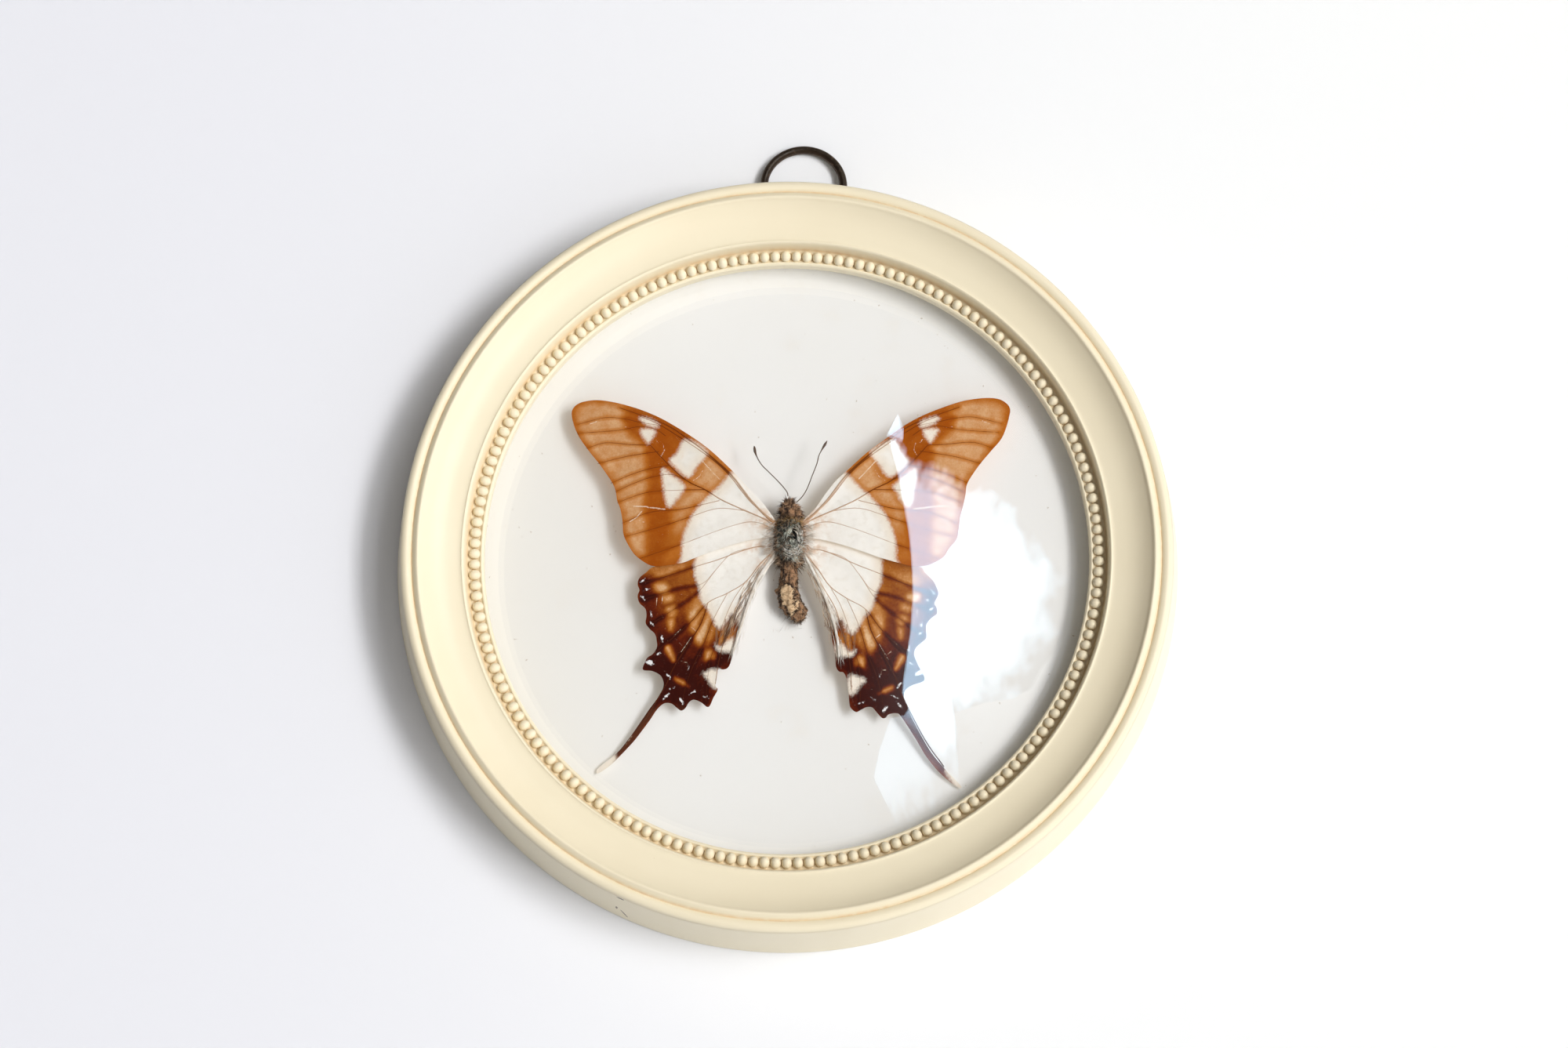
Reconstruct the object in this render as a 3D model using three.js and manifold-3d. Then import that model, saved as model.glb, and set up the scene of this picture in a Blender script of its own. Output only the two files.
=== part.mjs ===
// A dried swallowtail butterfly under domed glass in a round moulded frame, lying on its back.
// Millimetres, +Z up. The origin is the centre of the frame's back plane and +Y is the hanger side.

import * as THREE from 'three';
import { mergeVertices } from 'three/addons/utils/BufferGeometryUtils.js';
import Module from 'manifold-3d';

const wasm = await Module();
wasm.setup();

// Driving dimensions of the frame
const BASE_R = 77; // foot of the side wall, which flares out below the rim
const FRAME_R = 75; // outer radius of the rim
const BAND_Z = 14.45; // top of the outermost rounded band
const RIDGE_Z = 14.75; // top of the ridge inside it, the frame's highest line
const COVE_Z = 11.4; // floor of the cove
const BEAD_R = 60.75; // circle through the bead centres
const BEAD_Z = 9.45; // top of the beads
const BEAD_BED_Z = 8.1; // bed that the beads stand on
const BEAD_COUNT = 180;
const BEAD_START_DEG = 0.3; // the first bead, measured from +X
const SIGHT_R = 59; // edge of the opening
const SIGHT_Z = 7.5;
const LIP_UNDER_Z = 6; // underside of the lip
const BORE_R = 62.4; // bore that takes the glass and the card
const BOARD_BORE_R = 66; // wider bore at the back, for the back board
const BOARD_BORE_DEPTH = 1.3;
const FRAME_SIDES = 45;

// Driving dimensions of what lies in the frame
const GAP = 0.3; // clearance between pieces that touch
const GLASS_R = 62;
const GLASS_SPHERE_R = 135; // outer radius of curvature
const GLASS_THICKNESS = 2;
const GLASS_EDGE_Z = 2.3; // ground edge of the glass
const CARD_TOP_Z = 2;
const CARD_THICKNESS = 0.7;
const BOARD_R = 65.6; // the board lies flush in the back

// Driving dimensions of the hanger
const HANGER_X = 0.4; // the hanger is a little off the middle
const RING_OUTER_R = 8.83;
const RING_SECTION = { radial: 1.6, height: 1.9 };
const HINGE = { y: 70.15, z: 2.35 }; // axis of the ring's hinge, along X, under the frame
const RING_DROOP_DEG = 4.4; // the ring slopes from its hinge down to the table
const STAPLE = { wireR: 0.5, bendR: 1.75, legTop: 7.8, holeR: 0.8, holeTop: 8.3 };
const NOTCH = { width: 19.4, fromY: 67.5, top: 3.8 }; // room for the ring in the frame's back

// Driving dimensions of the specimen
const WING_THICKNESS = 0.35;
const WING_CELL = 4.6; // grid step of a wing's curved surface
const FOREWING_ROOT_Z = 7.8;
const FOREWING_DROP = 2; // from root to tip
const FOREWING_REACH = 40;
const HINDWING_ROOT_Z = 6.8;
const HINDWING_DROP_OUT = 0.02; // per mm away from the body
const HINDWING_DROP_BACK = 0.05; // per mm towards the tail
const TAIL_FROM_Y = -28;
const TAIL_DROP = 0.07; // per mm along the tail
const ANTENNA_R = 0.26;
const CLUB = { r: 0.45, halfLength: 1.3 };

const looks = {
  plastic: new THREE.MeshStandardMaterial({ color: 0xefe6c8, roughness: 0.42 }),
  glass: new THREE.MeshStandardMaterial({
    color: 0xf4f8f8, roughness: 0.04, transparent: true, opacity: 0.2,
  }),
  card: new THREE.MeshStandardMaterial({ color: 0xe9e4da, roughness: 0.9 }),
  board: new THREE.MeshStandardMaterial({ color: 0x8a6a48, roughness: 0.9 }),
  bronze: new THREE.MeshStandardMaterial({ color: 0x4a3a2e, roughness: 0.45, metalness: 0.9 }),
  wing: new THREE.MeshStandardMaterial({ color: 0xb87438, roughness: 0.7 }),
  hindwing: new THREE.MeshStandardMaterial({ color: 0x8a4a20, roughness: 0.7 }),
  insect: new THREE.MeshStandardMaterial({ color: 0x5d4a38, roughness: 0.9 }),
};

const object = new THREE.Group();

function addMesh(name, geometry, look) {
  geometry.computeVertexNormals();
  const mesh = new THREE.Mesh(geometry, look);
  mesh.name = name;
  object.add(mesh);
}

// Booleans: a closed geometry to a solid and back
function toSolid(geometry) {
  const bare = geometry.clone();
  for (const name of Object.keys(bare.attributes)) {
    if (name !== 'position') bare.deleteAttribute(name);
  }
  const merged = mergeVertices(bare, 1e-4);
  return new wasm.Manifold(new wasm.Mesh({
    numProp: 3,
    vertProperties: new Float32Array(merged.attributes.position.array),
    triVerts: new Uint32Array(merged.index.array),
  }));
}

function toGeometry(solid) {
  const mesh = solid.getMesh();
  const geometry = new THREE.BufferGeometry();
  geometry.setAttribute('position', new THREE.BufferAttribute(new Float32Array(mesh.vertProperties), 3));
  geometry.setIndex(new THREE.BufferAttribute(new Uint32Array(mesh.triVerts), 1));
  return geometry;
}

function boxAt(width, length, height, x, y, z) {
  return new THREE.BoxGeometry(width, length, height).translate(x, y, z);
}

function rodAlongZ(radius, length, x, y, z, sides = 10) {
  return new THREE.CylinderGeometry(radius, radius, length, sides).rotateX(Math.PI / 2).translate(x, y, z);
}

// A lathe turns about Y, so it is laid over to turn about Z
function turned(profile, sides) {
  const points = profile.map(([r, z]) => new THREE.Vector2(r, z));
  return new THREE.LatheGeometry(points, sides).rotateX(Math.PI / 2);
}

// The frame is a closed set of rings round the axis, outside first, each joined to the next.
// A ring with more points than its neighbour has a whole multiple of them.
function ringedBody(rings) {
  const positions = [];
  const faces = [];
  const starts = rings.map(({ count, point }) => {
    const start = positions.length / 3;
    for (let i = 0; i < count; i++) {
      const [r, z] = point(i);
      const turn = (2 * Math.PI * i) / count + THREE.MathUtils.degToRad(BEAD_START_DEG);
      positions.push(r * Math.cos(turn), r * Math.sin(turn), z);
    }
    return start;
  });
  rings.forEach((ring, k) => {
    const next = (k + 1) % rings.length;
    const a = { start: starts[k], count: ring.count };
    const b = { start: starts[next], count: rings[next].count };
    joinRings(a, b, faces);
  });
  const geometry = new THREE.BufferGeometry();
  geometry.setAttribute('position', new THREE.Float32BufferAttribute(positions, 3));
  geometry.setIndex(faces);
  return geometry;
}

function joinRings(a, b, faces) {
  const coarse = Math.min(a.count, b.count);
  const stepA = a.count / coarse;
  const stepB = b.count / coarse;
  for (let i = 0; i < coarse; i++) {
    const atA = (j) => a.start + ((i * stepA + j) % a.count);
    const atB = (j) => b.start + ((i * stepB + j) % b.count);
    for (let j = 0; j < stepA; j++) faces.push(atA(j), atA(j + 1), atB(Math.floor(stepB / 2)));
    for (let j = 0; j < stepB; j++) {
      const corner = j < Math.floor(stepB / 2) ? atA(0) : atA(stepA);
      faces.push(corner, atB(j + 1), atB(j));
    }
  }
}

function plainRing(r, z) {
  return { count: FRAME_SIDES, point: () => [r, z] };
}

function beadRing(r, zOf) {
  return { count: 2 * BEAD_COUNT, point: (i) => [r, zOf(i)] };
}

function frameBody() {
  const outside = [
    [BASE_R - 0.6, 0], [BASE_R, 0.6], [FRAME_R, BAND_Z - 2.15], [FRAME_R - 0.15, BAND_Z - 1.25],
    [FRAME_R - 0.6, BAND_Z - 0.4], [FRAME_R - 1.4, BAND_Z], [FRAME_R - 2.15, BAND_Z - 0.15],
    [FRAME_R - 2.65, BAND_Z - 0.6],
  ];
  const ridge = [
    [FRAME_R - 3.15, RIDGE_Z - 0.35], [FRAME_R - 3.7, RIDGE_Z], [FRAME_R - 4.1, RIDGE_Z - 0.05],
    [FRAME_R - 4.6, RIDGE_Z - 0.6],
  ];
  const cove = [
    [69.6, COVE_Z + 2.1], [68.7, COVE_Z + 1.5], [67.6, COVE_Z + 0.95], [66.3, COVE_Z + 0.5],
    [65, COVE_Z + 0.2], [63.8, COVE_Z], [63.2, COVE_Z], [62.9, COVE_Z + 0.1], [62.6, COVE_Z - 0.2],
    [62.3, BEAD_BED_Z + 0.4],
  ];
  const inside = [
    [SIGHT_R + 0.3, BEAD_BED_Z - 0.2], [SIGHT_R, SIGHT_Z], [SIGHT_R, LIP_UNDER_Z], [BORE_R, LIP_UNDER_Z],
    [BORE_R, BOARD_BORE_DEPTH], [BOARD_BORE_R, BOARD_BORE_DEPTH], [BOARD_BORE_R, 0],
  ];
  const bed = BEAD_BED_Z;
  const rings = [
    ...[...outside, ...ridge, ...cove].map(([r, z]) => plainRing(r, z)),
    beadRing(BEAD_R + 1.15, () => bed + 0.1),
    beadRing(BEAD_R, (i) => (i % 2 === 0 ? BEAD_Z : bed)),
    beadRing(BEAD_R - 1.15, () => bed - 0.1),
    ...inside.map(([r, z]) => plainRing(r, z)),
  ];
  return ringedBody(rings);
}

// The notch for the ring and the blind holes for the staple's legs
function frame() {
  const notchLength = 12;
  const notch = boxAt(
    NOTCH.width, notchLength, 2 * NOTCH.top, HANGER_X, NOTCH.fromY + notchLength / 2, 0,
  );
  let solid = toSolid(frameBody()).subtract(toSolid(notch));
  for (const side of [-1, 1]) {
    const legY = HINGE.y + side * STAPLE.bendR;
    solid = solid.subtract(toSolid(rodAlongZ(STAPLE.holeR, 2 * STAPLE.holeTop, HANGER_X, legY, 0)));
  }
  addMesh('frame', toGeometry(solid), looks.plastic);
}

// Height of the glass over the back plane at a distance from the axis
function domeHeight(r, thickness) {
  const sphere = GLASS_SPHERE_R - thickness;
  const middle = LIP_UNDER_Z - GAP - Math.sqrt(GLASS_SPHERE_R ** 2 - SIGHT_R ** 2);
  return middle + Math.sqrt(sphere ** 2 - r ** 2);
}

function convexGlass() {
  const steps = 6;
  const outer = [];
  const inner = [];
  const innerR = GLASS_R - 0.7;
  for (let i = 0; i <= steps; i++) {
    outer.push([(GLASS_R * i) / steps, domeHeight((GLASS_R * i) / steps, 0)]);
    inner.push([(innerR * i) / steps, domeHeight((innerR * i) / steps, GLASS_THICKNESS)]);
  }
  inner[steps][1] = GLASS_EDGE_Z;
  const profile = [...inner, [GLASS_R, GLASS_EDGE_Z], ...outer.reverse()];
  addMesh('convex_glass', turned(profile, FRAME_SIDES), looks.glass);
}

function disc(name, radius, top, thickness, look) {
  addMesh(name, rodAlongZ(radius, thickness, 0, 0, top - thickness / 2, FRAME_SIDES), look);
}

function cardAndBoard() {
  const boardThickness = BOARD_BORE_DEPTH - GAP;
  disc('mount_card', GLASS_R, CARD_TOP_Z, CARD_THICKNESS, looks.card);
  disc('back_board', BOARD_R, boardThickness, boardThickness, looks.board);
}

// The ring lies on the table, and its near end is under the frame.
// Its hinge is the middle of the wire at the near end.
function hangingRing() {
  const { radial, height } = RING_SECTION;
  const middleR = RING_OUTER_R - radial / 2;
  const profile = [];
  for (let i = 8; i >= 0; i--) {
    const turn = (2 * Math.PI * i) / 8;
    profile.push([middleR + (radial / 2) * Math.cos(turn), (height / 2) * Math.sin(turn)]);
  }
  const ring = turned(profile.reverse(), 36).translate(0, middleR, 0);
  ring.rotateX(-THREE.MathUtils.degToRad(RING_DROOP_DEG)).translate(HANGER_X, HINGE.y, HINGE.z);
  addMesh('hanging_ring', ring, looks.bronze);
}

// Round bar along a route of points
function barAlong(route, radius, sides, steps) {
  const curve = new THREE.CatmullRomCurve3(route.map(([x, y, z]) => new THREE.Vector3(x, y, z)));
  const outline = [];
  for (let i = 0; i < sides; i++) {
    const turn = (2 * Math.PI * i) / sides;
    outline.push(new THREE.Vector2(radius * Math.cos(turn), radius * Math.sin(turn)));
  }
  const bar = new THREE.ExtrudeGeometry(new THREE.Shape(outline), { steps, extrudePath: curve });
  return { bar, curve };
}

// A wire that goes round the ring from behind, with both legs pressed up into the frame
function hangerStaple() {
  const { wireR, bendR, legTop } = STAPLE;
  const legMiddle = (HINGE.z + legTop) / 2;
  const route = [[HANGER_X, HINGE.y - bendR, legTop], [HANGER_X, HINGE.y - bendR, legMiddle]];
  for (let deg = 180; deg <= 360; deg += 30) {
    const turn = THREE.MathUtils.degToRad(deg);
    route.push([HANGER_X, HINGE.y + bendR * Math.cos(turn), HINGE.z + bendR * Math.sin(turn)]);
  }
  route.push([HANGER_X, HINGE.y + bendR, legMiddle], [HANGER_X, HINGE.y + bendR, legTop]);
  addMesh('hanger_staple', barAlong(route, wireR, 8, 30).bar, looks.bronze);
}

// Height of the middle of a wing over the back plane
function forewingHeight(x) {
  const share = Math.max(0, Math.abs(x) - 3) / FOREWING_REACH;
  return FOREWING_ROOT_Z - FOREWING_DROP * share * share;
}

function hindwingHeight(x, y) {
  const out = Math.max(0, Math.abs(x) - 3);
  const back = Math.max(0, -y);
  const tail = Math.max(0, TAIL_FROM_Y - y);
  return HINDWING_ROOT_Z - HINDWING_DROP_OUT * out - HINDWING_DROP_BACK * back - TAIL_DROP * tail;
}

// A curved sheet over the outline's box, cut to the outline
function wing(name, outline, heightAt, look) {
  const shape = new THREE.Shape(outline.map(([x, y]) => new THREE.Vector2(x, y)));
  const cutter = new THREE.ExtrudeGeometry(shape, { depth: 30, bevelEnabled: false });
  cutter.translate(0, 0, CARD_TOP_Z - 10);
  const xs = outline.map(([x]) => x);
  const ys = outline.map(([, y]) => y);
  const low = [Math.min(...xs) - 1, Math.min(...ys) - 1];
  const size = [Math.max(...xs) + 1 - low[0], Math.max(...ys) + 1 - low[1]];
  const cells = size.map((length) => Math.ceil(length / WING_CELL));
  const sheet = new THREE.BoxGeometry(size[0], size[1], WING_THICKNESS, cells[0], cells[1], 1);
  sheet.translate(low[0] + size[0] / 2, low[1] + size[1] / 2, 0);
  const spots = sheet.attributes.position;
  for (let i = 0; i < spots.count; i++) {
    spots.setZ(i, spots.getZ(i) + heightAt(spots.getX(i), spots.getY(i)));
  }
  addMesh(name, toGeometry(toSolid(sheet).intersect(toSolid(cutter))), look);
}

// Outlines of the wings, from the root along the front edge and back along the inner edge
const LEFT_FOREWING = [
  [-2.9, 6.3], [-4.6, 9], [-7.5, 12.3], [-11.5, 16.3], [-15.8, 20.1], [-20.4, 23.3], [-25.5, 26.2],
  [-30.1, 28.1], [-34.6, 29.3], [-38.5, 29.8], [-41.5, 29.3], [-42.9, 28.3], [-43.3, 27], [-42.8, 24.9],
  [-41.7, 22.5], [-39.7, 19.7], [-37.2, 16.7], [-34.7, 13.3], [-33.8, 11.4], [-33.4, 9.5], [-32.7, 7.8],
  [-32.1, 5.2], [-31.8, 2.7], [-30.7, 0.5], [-29.3, -1.4], [-27.4, -2.8], [-25.7, -3.5], [-23.6, -3.4],
  [-20, -2.7], [-17.3, -1.5], [-12, 0.6], [-6.7, 2.3], [-3, 3.4],
];
const RIGHT_FOREWING = [
  [3.5, 6.6], [5.3, 8.8], [6.9, 11.5], [9, 14.5], [11.8, 17.4], [15.1, 20.7], [18.4, 23.4], [22.4, 26.6],
  [25.7, 28.6], [29.7, 30.5], [33.6, 32], [37.6, 32.8], [40.2, 32.8], [41.9, 32], [42.7, 30.8], [42.5, 29],
  [41.9, 26.6], [41, 24.5], [39, 21.9], [37.4, 19.8], [35.7, 17.2], [34.6, 15], [34.4, 13.1], [34, 10.7],
  [33.5, 8.3], [33.3, 6], [32.9, 3.9], [31.5, 2.1], [30.5, 0.3], [28.2, -1.2], [26.3, -1.7], [24.3, -1.8],
  [22, -1.3], [18.3, -0.4], [11.8, 1.6], [7.1, 2.7], [4, 3.6],
];
const LEFT_HINDWING = [
  [-2.8, 1.6], [-6.7, 2.2], [-15.3, -0.1], [-21.8, -2.1], [-25.8, -3.5], [-27, -4.5], [-28.3, -5.7],
  [-28.6, -7], [-28.2, -8.1], [-28.5, -9.2], [-28.1, -10.6], [-26.9, -11.7], [-26.6, -13.1], [-26.7, -14.5],
  [-25.9, -15.6], [-24.8, -16.6], [-24.4, -18], [-24.3, -19.2], [-25, -20.5], [-26, -21.2], [-26.5, -22.2],
  [-26.8, -23.6], [-25.1, -23.8], [-23.4, -24.6], [-22.7, -26], [-22.8, -27.3], [-23.6, -28.9],
  [-25.4, -31.5], [-27.1, -34.2], [-29, -37.1], [-31, -39.7], [-33.8, -42.1], [-34.8, -43.1],
  [-34.5, -43.7], [-32, -41.9], [-29.1, -38.8], [-27.4, -36.7], [-25.1, -33.4], [-23.7, -31.2],
  [-22.4, -30], [-21, -30], [-19.9, -30.8], [-19.1, -31.3], [-18.3, -30.8], [-17.6, -29.6], [-16.7, -29.1],
  [-15.3, -29.6], [-14.2, -30.4], [-13.6, -30.2], [-13, -28.7], [-12.2, -27], [-12.7, -26.2],
  [-12.4, -23.3], [-11.3, -23.1], [-10.5, -22.8], [-10, -21.9], [-9.7, -20.5], [-9.3, -18], [-8.8, -15.5],
  [-7.7, -12.4], [-6.2, -9], [-4.7, -5.6], [-3.4, -3], [-2.7, -0.7],
];
const RIGHT_HINDWING = [
  [3.6, 1.4], [3.8, -0.5], [5.3, -3.6], [6.8, -7.4], [8, -11], [8.9, -14.3], [9.6, -17.4], [10.1, -19.8],
  [10.4, -21.8], [11, -22.7], [11.9, -22.9], [12.5, -24.2], [12.9, -26.4], [13.1, -28], [13.4, -29.5],
  [14.5, -30.4], [15.4, -30], [16.5, -29.4], [17.6, -29.4], [18.4, -30.2], [19.5, -31.3], [20.2, -31.3],
  [20.8, -30.6], [22.2, -30.3], [23.2, -30.9], [25.9, -34.7], [28.3, -38.4], [31, -41.4], [34.3, -43.9],
  [35, -43.6], [32, -40.7], [29.2, -37.6], [26.8, -33.8], [24.8, -30.2], [23.7, -27.6], [23.6, -26.8],
  [23.9, -25.8], [25, -24.9], [27.4, -23.9], [27.2, -22.6], [26.2, -20.9], [25.4, -19], [25.6, -17.6],
  [26.7, -16.5], [27.6, -15.5], [27.5, -13.1], [28.4, -11.7], [29.5, -10.8], [29.5, -9.7], [29, -8.6],
  [29.7, -6.9], [29.3, -5.5], [28.5, -4.1], [26.8, -2.5], [26.1, -1.7], [20.2, -0.2], [13.3, 1.2],
  [7, 2.4],
];

// Stations of the body from head to tail: y, middle x, middle z, half width, half height
const BODY = [
  [10.6, 0.1, 6.9, 0.9, 0.9], [9.6, 0.2, 6.9, 1.6, 1.7], [8.2, 0.6, 6.8, 1.9, 2], [7, 0.7, 6.7, 1.9, 2.2],
  [5.8, 0.5, 6.5, 2.4, 3], [4.2, 0.4, 6.5, 2.7, 3.7], [2.4, 0.5, 6.4, 2.6, 3.8], [0.6, 0.6, 6.3, 2.5, 3.4],
  [-0.9, 0.7, 6, 1.9, 2.7], [-1.9, 0.6, 5.6, 1.4, 2], [-4.3, 0.7, 5, 1.4, 1.7], [-7.2, 0.8, 4.7, 1.9, 1.9],
  [-9, 1.1, 4.5, 2.3, 2], [-10.3, 1.7, 4.3, 2.4, 1.8], [-11.7, 2.4, 4, 1.8, 1.5], [-12.9, 2.7, 3.7, 0.8, 0.8],
];

function body() {
  const sides = 12;
  const positions = [];
  const faces = [];
  for (const [y, x, z, halfWidth, halfHeight] of BODY) {
    for (let i = 0; i < sides; i++) {
      const turn = (2 * Math.PI * i) / sides;
      positions.push(x + halfWidth * Math.cos(turn), y, z + halfHeight * Math.sin(turn));
    }
  }
  const ends = [BODY[0], BODY[BODY.length - 1]].map(([y, x, z], k) => {
    positions.push(x, y + (k === 0 ? 0.5 : -0.4), z);
    return positions.length / 3 - 1;
  });
  const last = (BODY.length - 1) * sides;
  for (let i = 0; i < sides; i++) {
    const next = (i + 1) % sides;
    for (let k = 0; k < BODY.length - 1; k++) {
      const a = k * sides;
      const b = a + sides;
      faces.push(a + i, a + next, b + i, a + next, b + next, b + i);
    }
    faces.push(ends[0], next, i, ends[1], last + i, last + next);
  }
  const geometry = new THREE.BufferGeometry();
  geometry.setAttribute('position', new THREE.Float32BufferAttribute(positions, 3));
  geometry.setIndex(faces);
  addMesh('body', geometry, looks.insect);
}

// Routes of the antennae from the head to the club
const LEFT_ANTENNA = [
  [-0.1, 11.4, 7.9], [-0.4, 12.1, 8], [-2, 13.9, 8.2], [-3.9, 15.7, 8.3], [-5.6, 17.4, 8.2],
  [-6.7, 19.4, 8], [-7.1, 21.1, 7.8],
];
const RIGHT_ANTENNA = [
  [2, 10.4, 7.9], [2.7, 11.2, 8], [3.6, 12.8, 8.3], [4.5, 15.4, 8.5], [5.3, 17.8, 8.4],
  [5.7, 19.7, 8.2], [7.1, 22.6, 7.9],
];

function antenna(name, route) {
  const { bar, curve } = barAlong(route, ANTENNA_R, 5, 12);
  const along = curve.getTangent(1);
  const club = new THREE.SphereGeometry(1, 6, 4).scale(CLUB.r, CLUB.halfLength, CLUB.r);
  club.applyQuaternion(new THREE.Quaternion().setFromUnitVectors(new THREE.Vector3(0, 1, 0), along));
  const middle = curve.getPoint(1).addScaledVector(along, -0.6 * CLUB.halfLength);
  club.translate(middle.x, middle.y, middle.z);
  addMesh(name, toGeometry(toSolid(bar).add(toSolid(club))), looks.insect);
}

frame();
convexGlass();
cardAndBoard();
hangerStaple();
hangingRing();
wing('left_forewing', LEFT_FOREWING, forewingHeight, looks.wing);
wing('right_forewing', RIGHT_FOREWING, forewingHeight, looks.wing);
wing('left_hindwing', LEFT_HINDWING, hindwingHeight, looks.hindwing);
wing('right_hindwing', RIGHT_HINDWING, hindwingHeight, looks.hindwing);
body();
antenna('left_antenna', LEFT_ANTENNA);
antenna('right_antenna', RIGHT_ANTENNA);

export default object;
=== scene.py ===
import math

import bpy
import numpy as np
from mathutils import Matrix, Vector, noise

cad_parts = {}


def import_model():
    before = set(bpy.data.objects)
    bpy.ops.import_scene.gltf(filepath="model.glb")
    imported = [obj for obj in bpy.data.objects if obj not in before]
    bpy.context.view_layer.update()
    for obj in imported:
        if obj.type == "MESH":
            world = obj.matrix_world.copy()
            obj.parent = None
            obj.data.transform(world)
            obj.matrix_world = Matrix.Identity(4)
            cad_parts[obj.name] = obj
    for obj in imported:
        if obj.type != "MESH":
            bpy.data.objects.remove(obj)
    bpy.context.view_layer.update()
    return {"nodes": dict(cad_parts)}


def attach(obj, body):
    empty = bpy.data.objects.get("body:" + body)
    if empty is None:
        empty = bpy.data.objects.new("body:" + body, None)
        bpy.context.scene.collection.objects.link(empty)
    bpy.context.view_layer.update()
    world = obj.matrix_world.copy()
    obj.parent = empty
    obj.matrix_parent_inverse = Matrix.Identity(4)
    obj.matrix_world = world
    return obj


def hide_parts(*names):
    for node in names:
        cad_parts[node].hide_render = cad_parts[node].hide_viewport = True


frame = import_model()

# A swallowtail under domed glass in a round cream frame. Lengths below are millimetres,
# in the CAD frame: the origin is the centre of the frame's back and +Y is the hanger side.
MM = 0.001
RNG = np.random.default_rng(7)

# The frame
BASE_R = 76.83  # foot of the side wall, which flares out below the rim
FRAME_R = 74.84
BAND_Z = 14.45
RIDGE_Z = 14.75
COVE_Z = 11.4
BEAD_R = 60.75
BEAD_TOP_Z = 9.45
BEAD_COUNT = 180
BEAD_START_DEG = 0.3
BEAD_HALF = (1.12, 1.02, 1.2)  # radial, along the circle, upright
BEAD_SIZE_SPREAD = 0.012
BED_Z = 8.1
SIGHT_R = 59.0
LIP_UNDER_Z = 6.0
BORE_R = 62.4
BOARD_BORE_R = 66.0
BOARD_BORE_DEPTH = 1.3
FRAME_STEPS = 540

# What lies in the frame
GAP = 0.3
GLASS_DROP = 0.31  # from the underside of the frame's lip to the glass at the lip
GLASS_R = 62.0
GLASS_SPHERE_R = 135.0
GLASS_THICKNESS = 2.0
GLASS_EDGE_Z = 2.3
CARD_TOP_Z = 2.0
BOARD_R = 65.6

# The hanger
HANGER_X = 0.4
RING_OUTER_R = 8.83
RING_SECTION = (1.6, 1.9)  # across the wire: radial, upright
HINGE_Y = 70.15
HINGE_Z = 2.35
RING_DROOP_DEG = 4.4
STAPLE_WIRE_R = 0.5
STAPLE_BEND_R = 1.75
STAPLE_LEG_TOP = 7.8
NOTCH_WIDTH = 19.4
NOTCH_FROM_Y = 67.5
NOTCH_TOP = 3.8

# The specimen
WING_HALF_THICKNESS = 0.05
WING_CELL = 0.22
WING_RIPPLE = 0.13
WING_RIPPLE_SIZE = 7.0
WING_SAG = 0.12  # between the veins
FOREWING_ROOT_Z = 7.8
FOREWING_DROP = 2.0
FOREWING_REACH = 40.0
HINDWING_ROOT_Z = 6.8
HINDWING_DROP_OUT = 0.02
HINDWING_DROP_BACK = 0.05
TAIL_FROM_Y = -28.0
TAIL_DROP = 0.07


# Curves and outlines


def smooth_line(points, steps):
    """A smooth curve through the points, with its ends."""
    p = np.asarray(points, float)
    padded = np.vstack([2 * p[0] - p[1], p, 2 * p[-1] - p[-2]])
    rows = [curve_piece(padded[i:i + 4], steps) for i in range(len(p) - 1)]
    return np.vstack(rows + [p[-1:]])


def smooth_loop(points, steps):
    """A smooth closed curve through the points."""
    p = np.asarray(points, float)
    around = np.vstack([p[-1], p, p[0], p[1]])
    return np.vstack([curve_piece(around[i:i + 4], steps) for i in range(len(p))])


def curve_piece(four, steps):
    a, b, c, d = four
    t = (np.arange(steps) / steps)[:, None]
    square = 2 * a - 5 * b + 4 * c - d
    cube = 3 * b - a - 3 * c + d
    return 0.5 * (2 * b + (c - a) * t + square * t ** 2 + cube * t ** 3)


def full_turn(steps):
    """Equal angles once round, in radians."""
    return np.linspace(0, 2 * np.pi, steps, endpoint=False)


def unit(vectors):
    return vectors / np.linalg.norm(vectors, axis=1)[:, None]


def line_distance(points, line, closed=False):
    """Distance from each 2-D point to a line of short straight pieces."""
    line = np.asarray(line, float)
    ends = np.roll(line, -1, 0) if closed else line[1:]
    starts = line if closed else line[:-1]
    best = np.full(len(points), np.inf)
    for start, end in zip(starts, ends):
        along = end - start
        share = np.clip((points - start) @ along / max(along @ along, 1e-12), 0, 1)
        best = np.minimum(best, np.linalg.norm(points - start - share[:, None] * along, axis=1))
    return best


def inside(points, loop):
    """True for each 2-D point inside the loop."""
    x, y = points[:, 0], points[:, 1]
    hit = np.zeros(len(points), bool)
    for (x0, y0), (x1, y1) in zip(loop, np.roll(loop, -1, 0)):
        crosses = (y0 > y) != (y1 > y)
        if y0 != y1:
            hit ^= crosses & (x < x0 + (y - y0) * (x1 - x0) / (y1 - y0))
    return hit


def depth_in(points, outline, steps=4):
    """How far each point is inside a smooth outline, in mm. It is negative outside."""
    loop = smooth_loop(outline, steps)
    away = line_distance(points, loop, closed=True)
    return np.where(inside(points, loop), away, -away)


def soft(value, width):
    """0 to 1 as value goes from -width to width."""
    t = np.clip(value / (2 * width) + 0.5, 0, 1)
    return t * t * (3 - 2 * t)


def bumpy(points, size, seed, octaves=3):
    """Smooth noise of about -1 to 1 at 3-D points, with lumps of about that size."""
    shift = Vector((seed * 17.3, seed * -5.1, seed * 9.7))
    return np.array([noise.fractal(Vector(p) / size + shift, 0.6, 2.1, octaves) for p in points])


# Meshes


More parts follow.
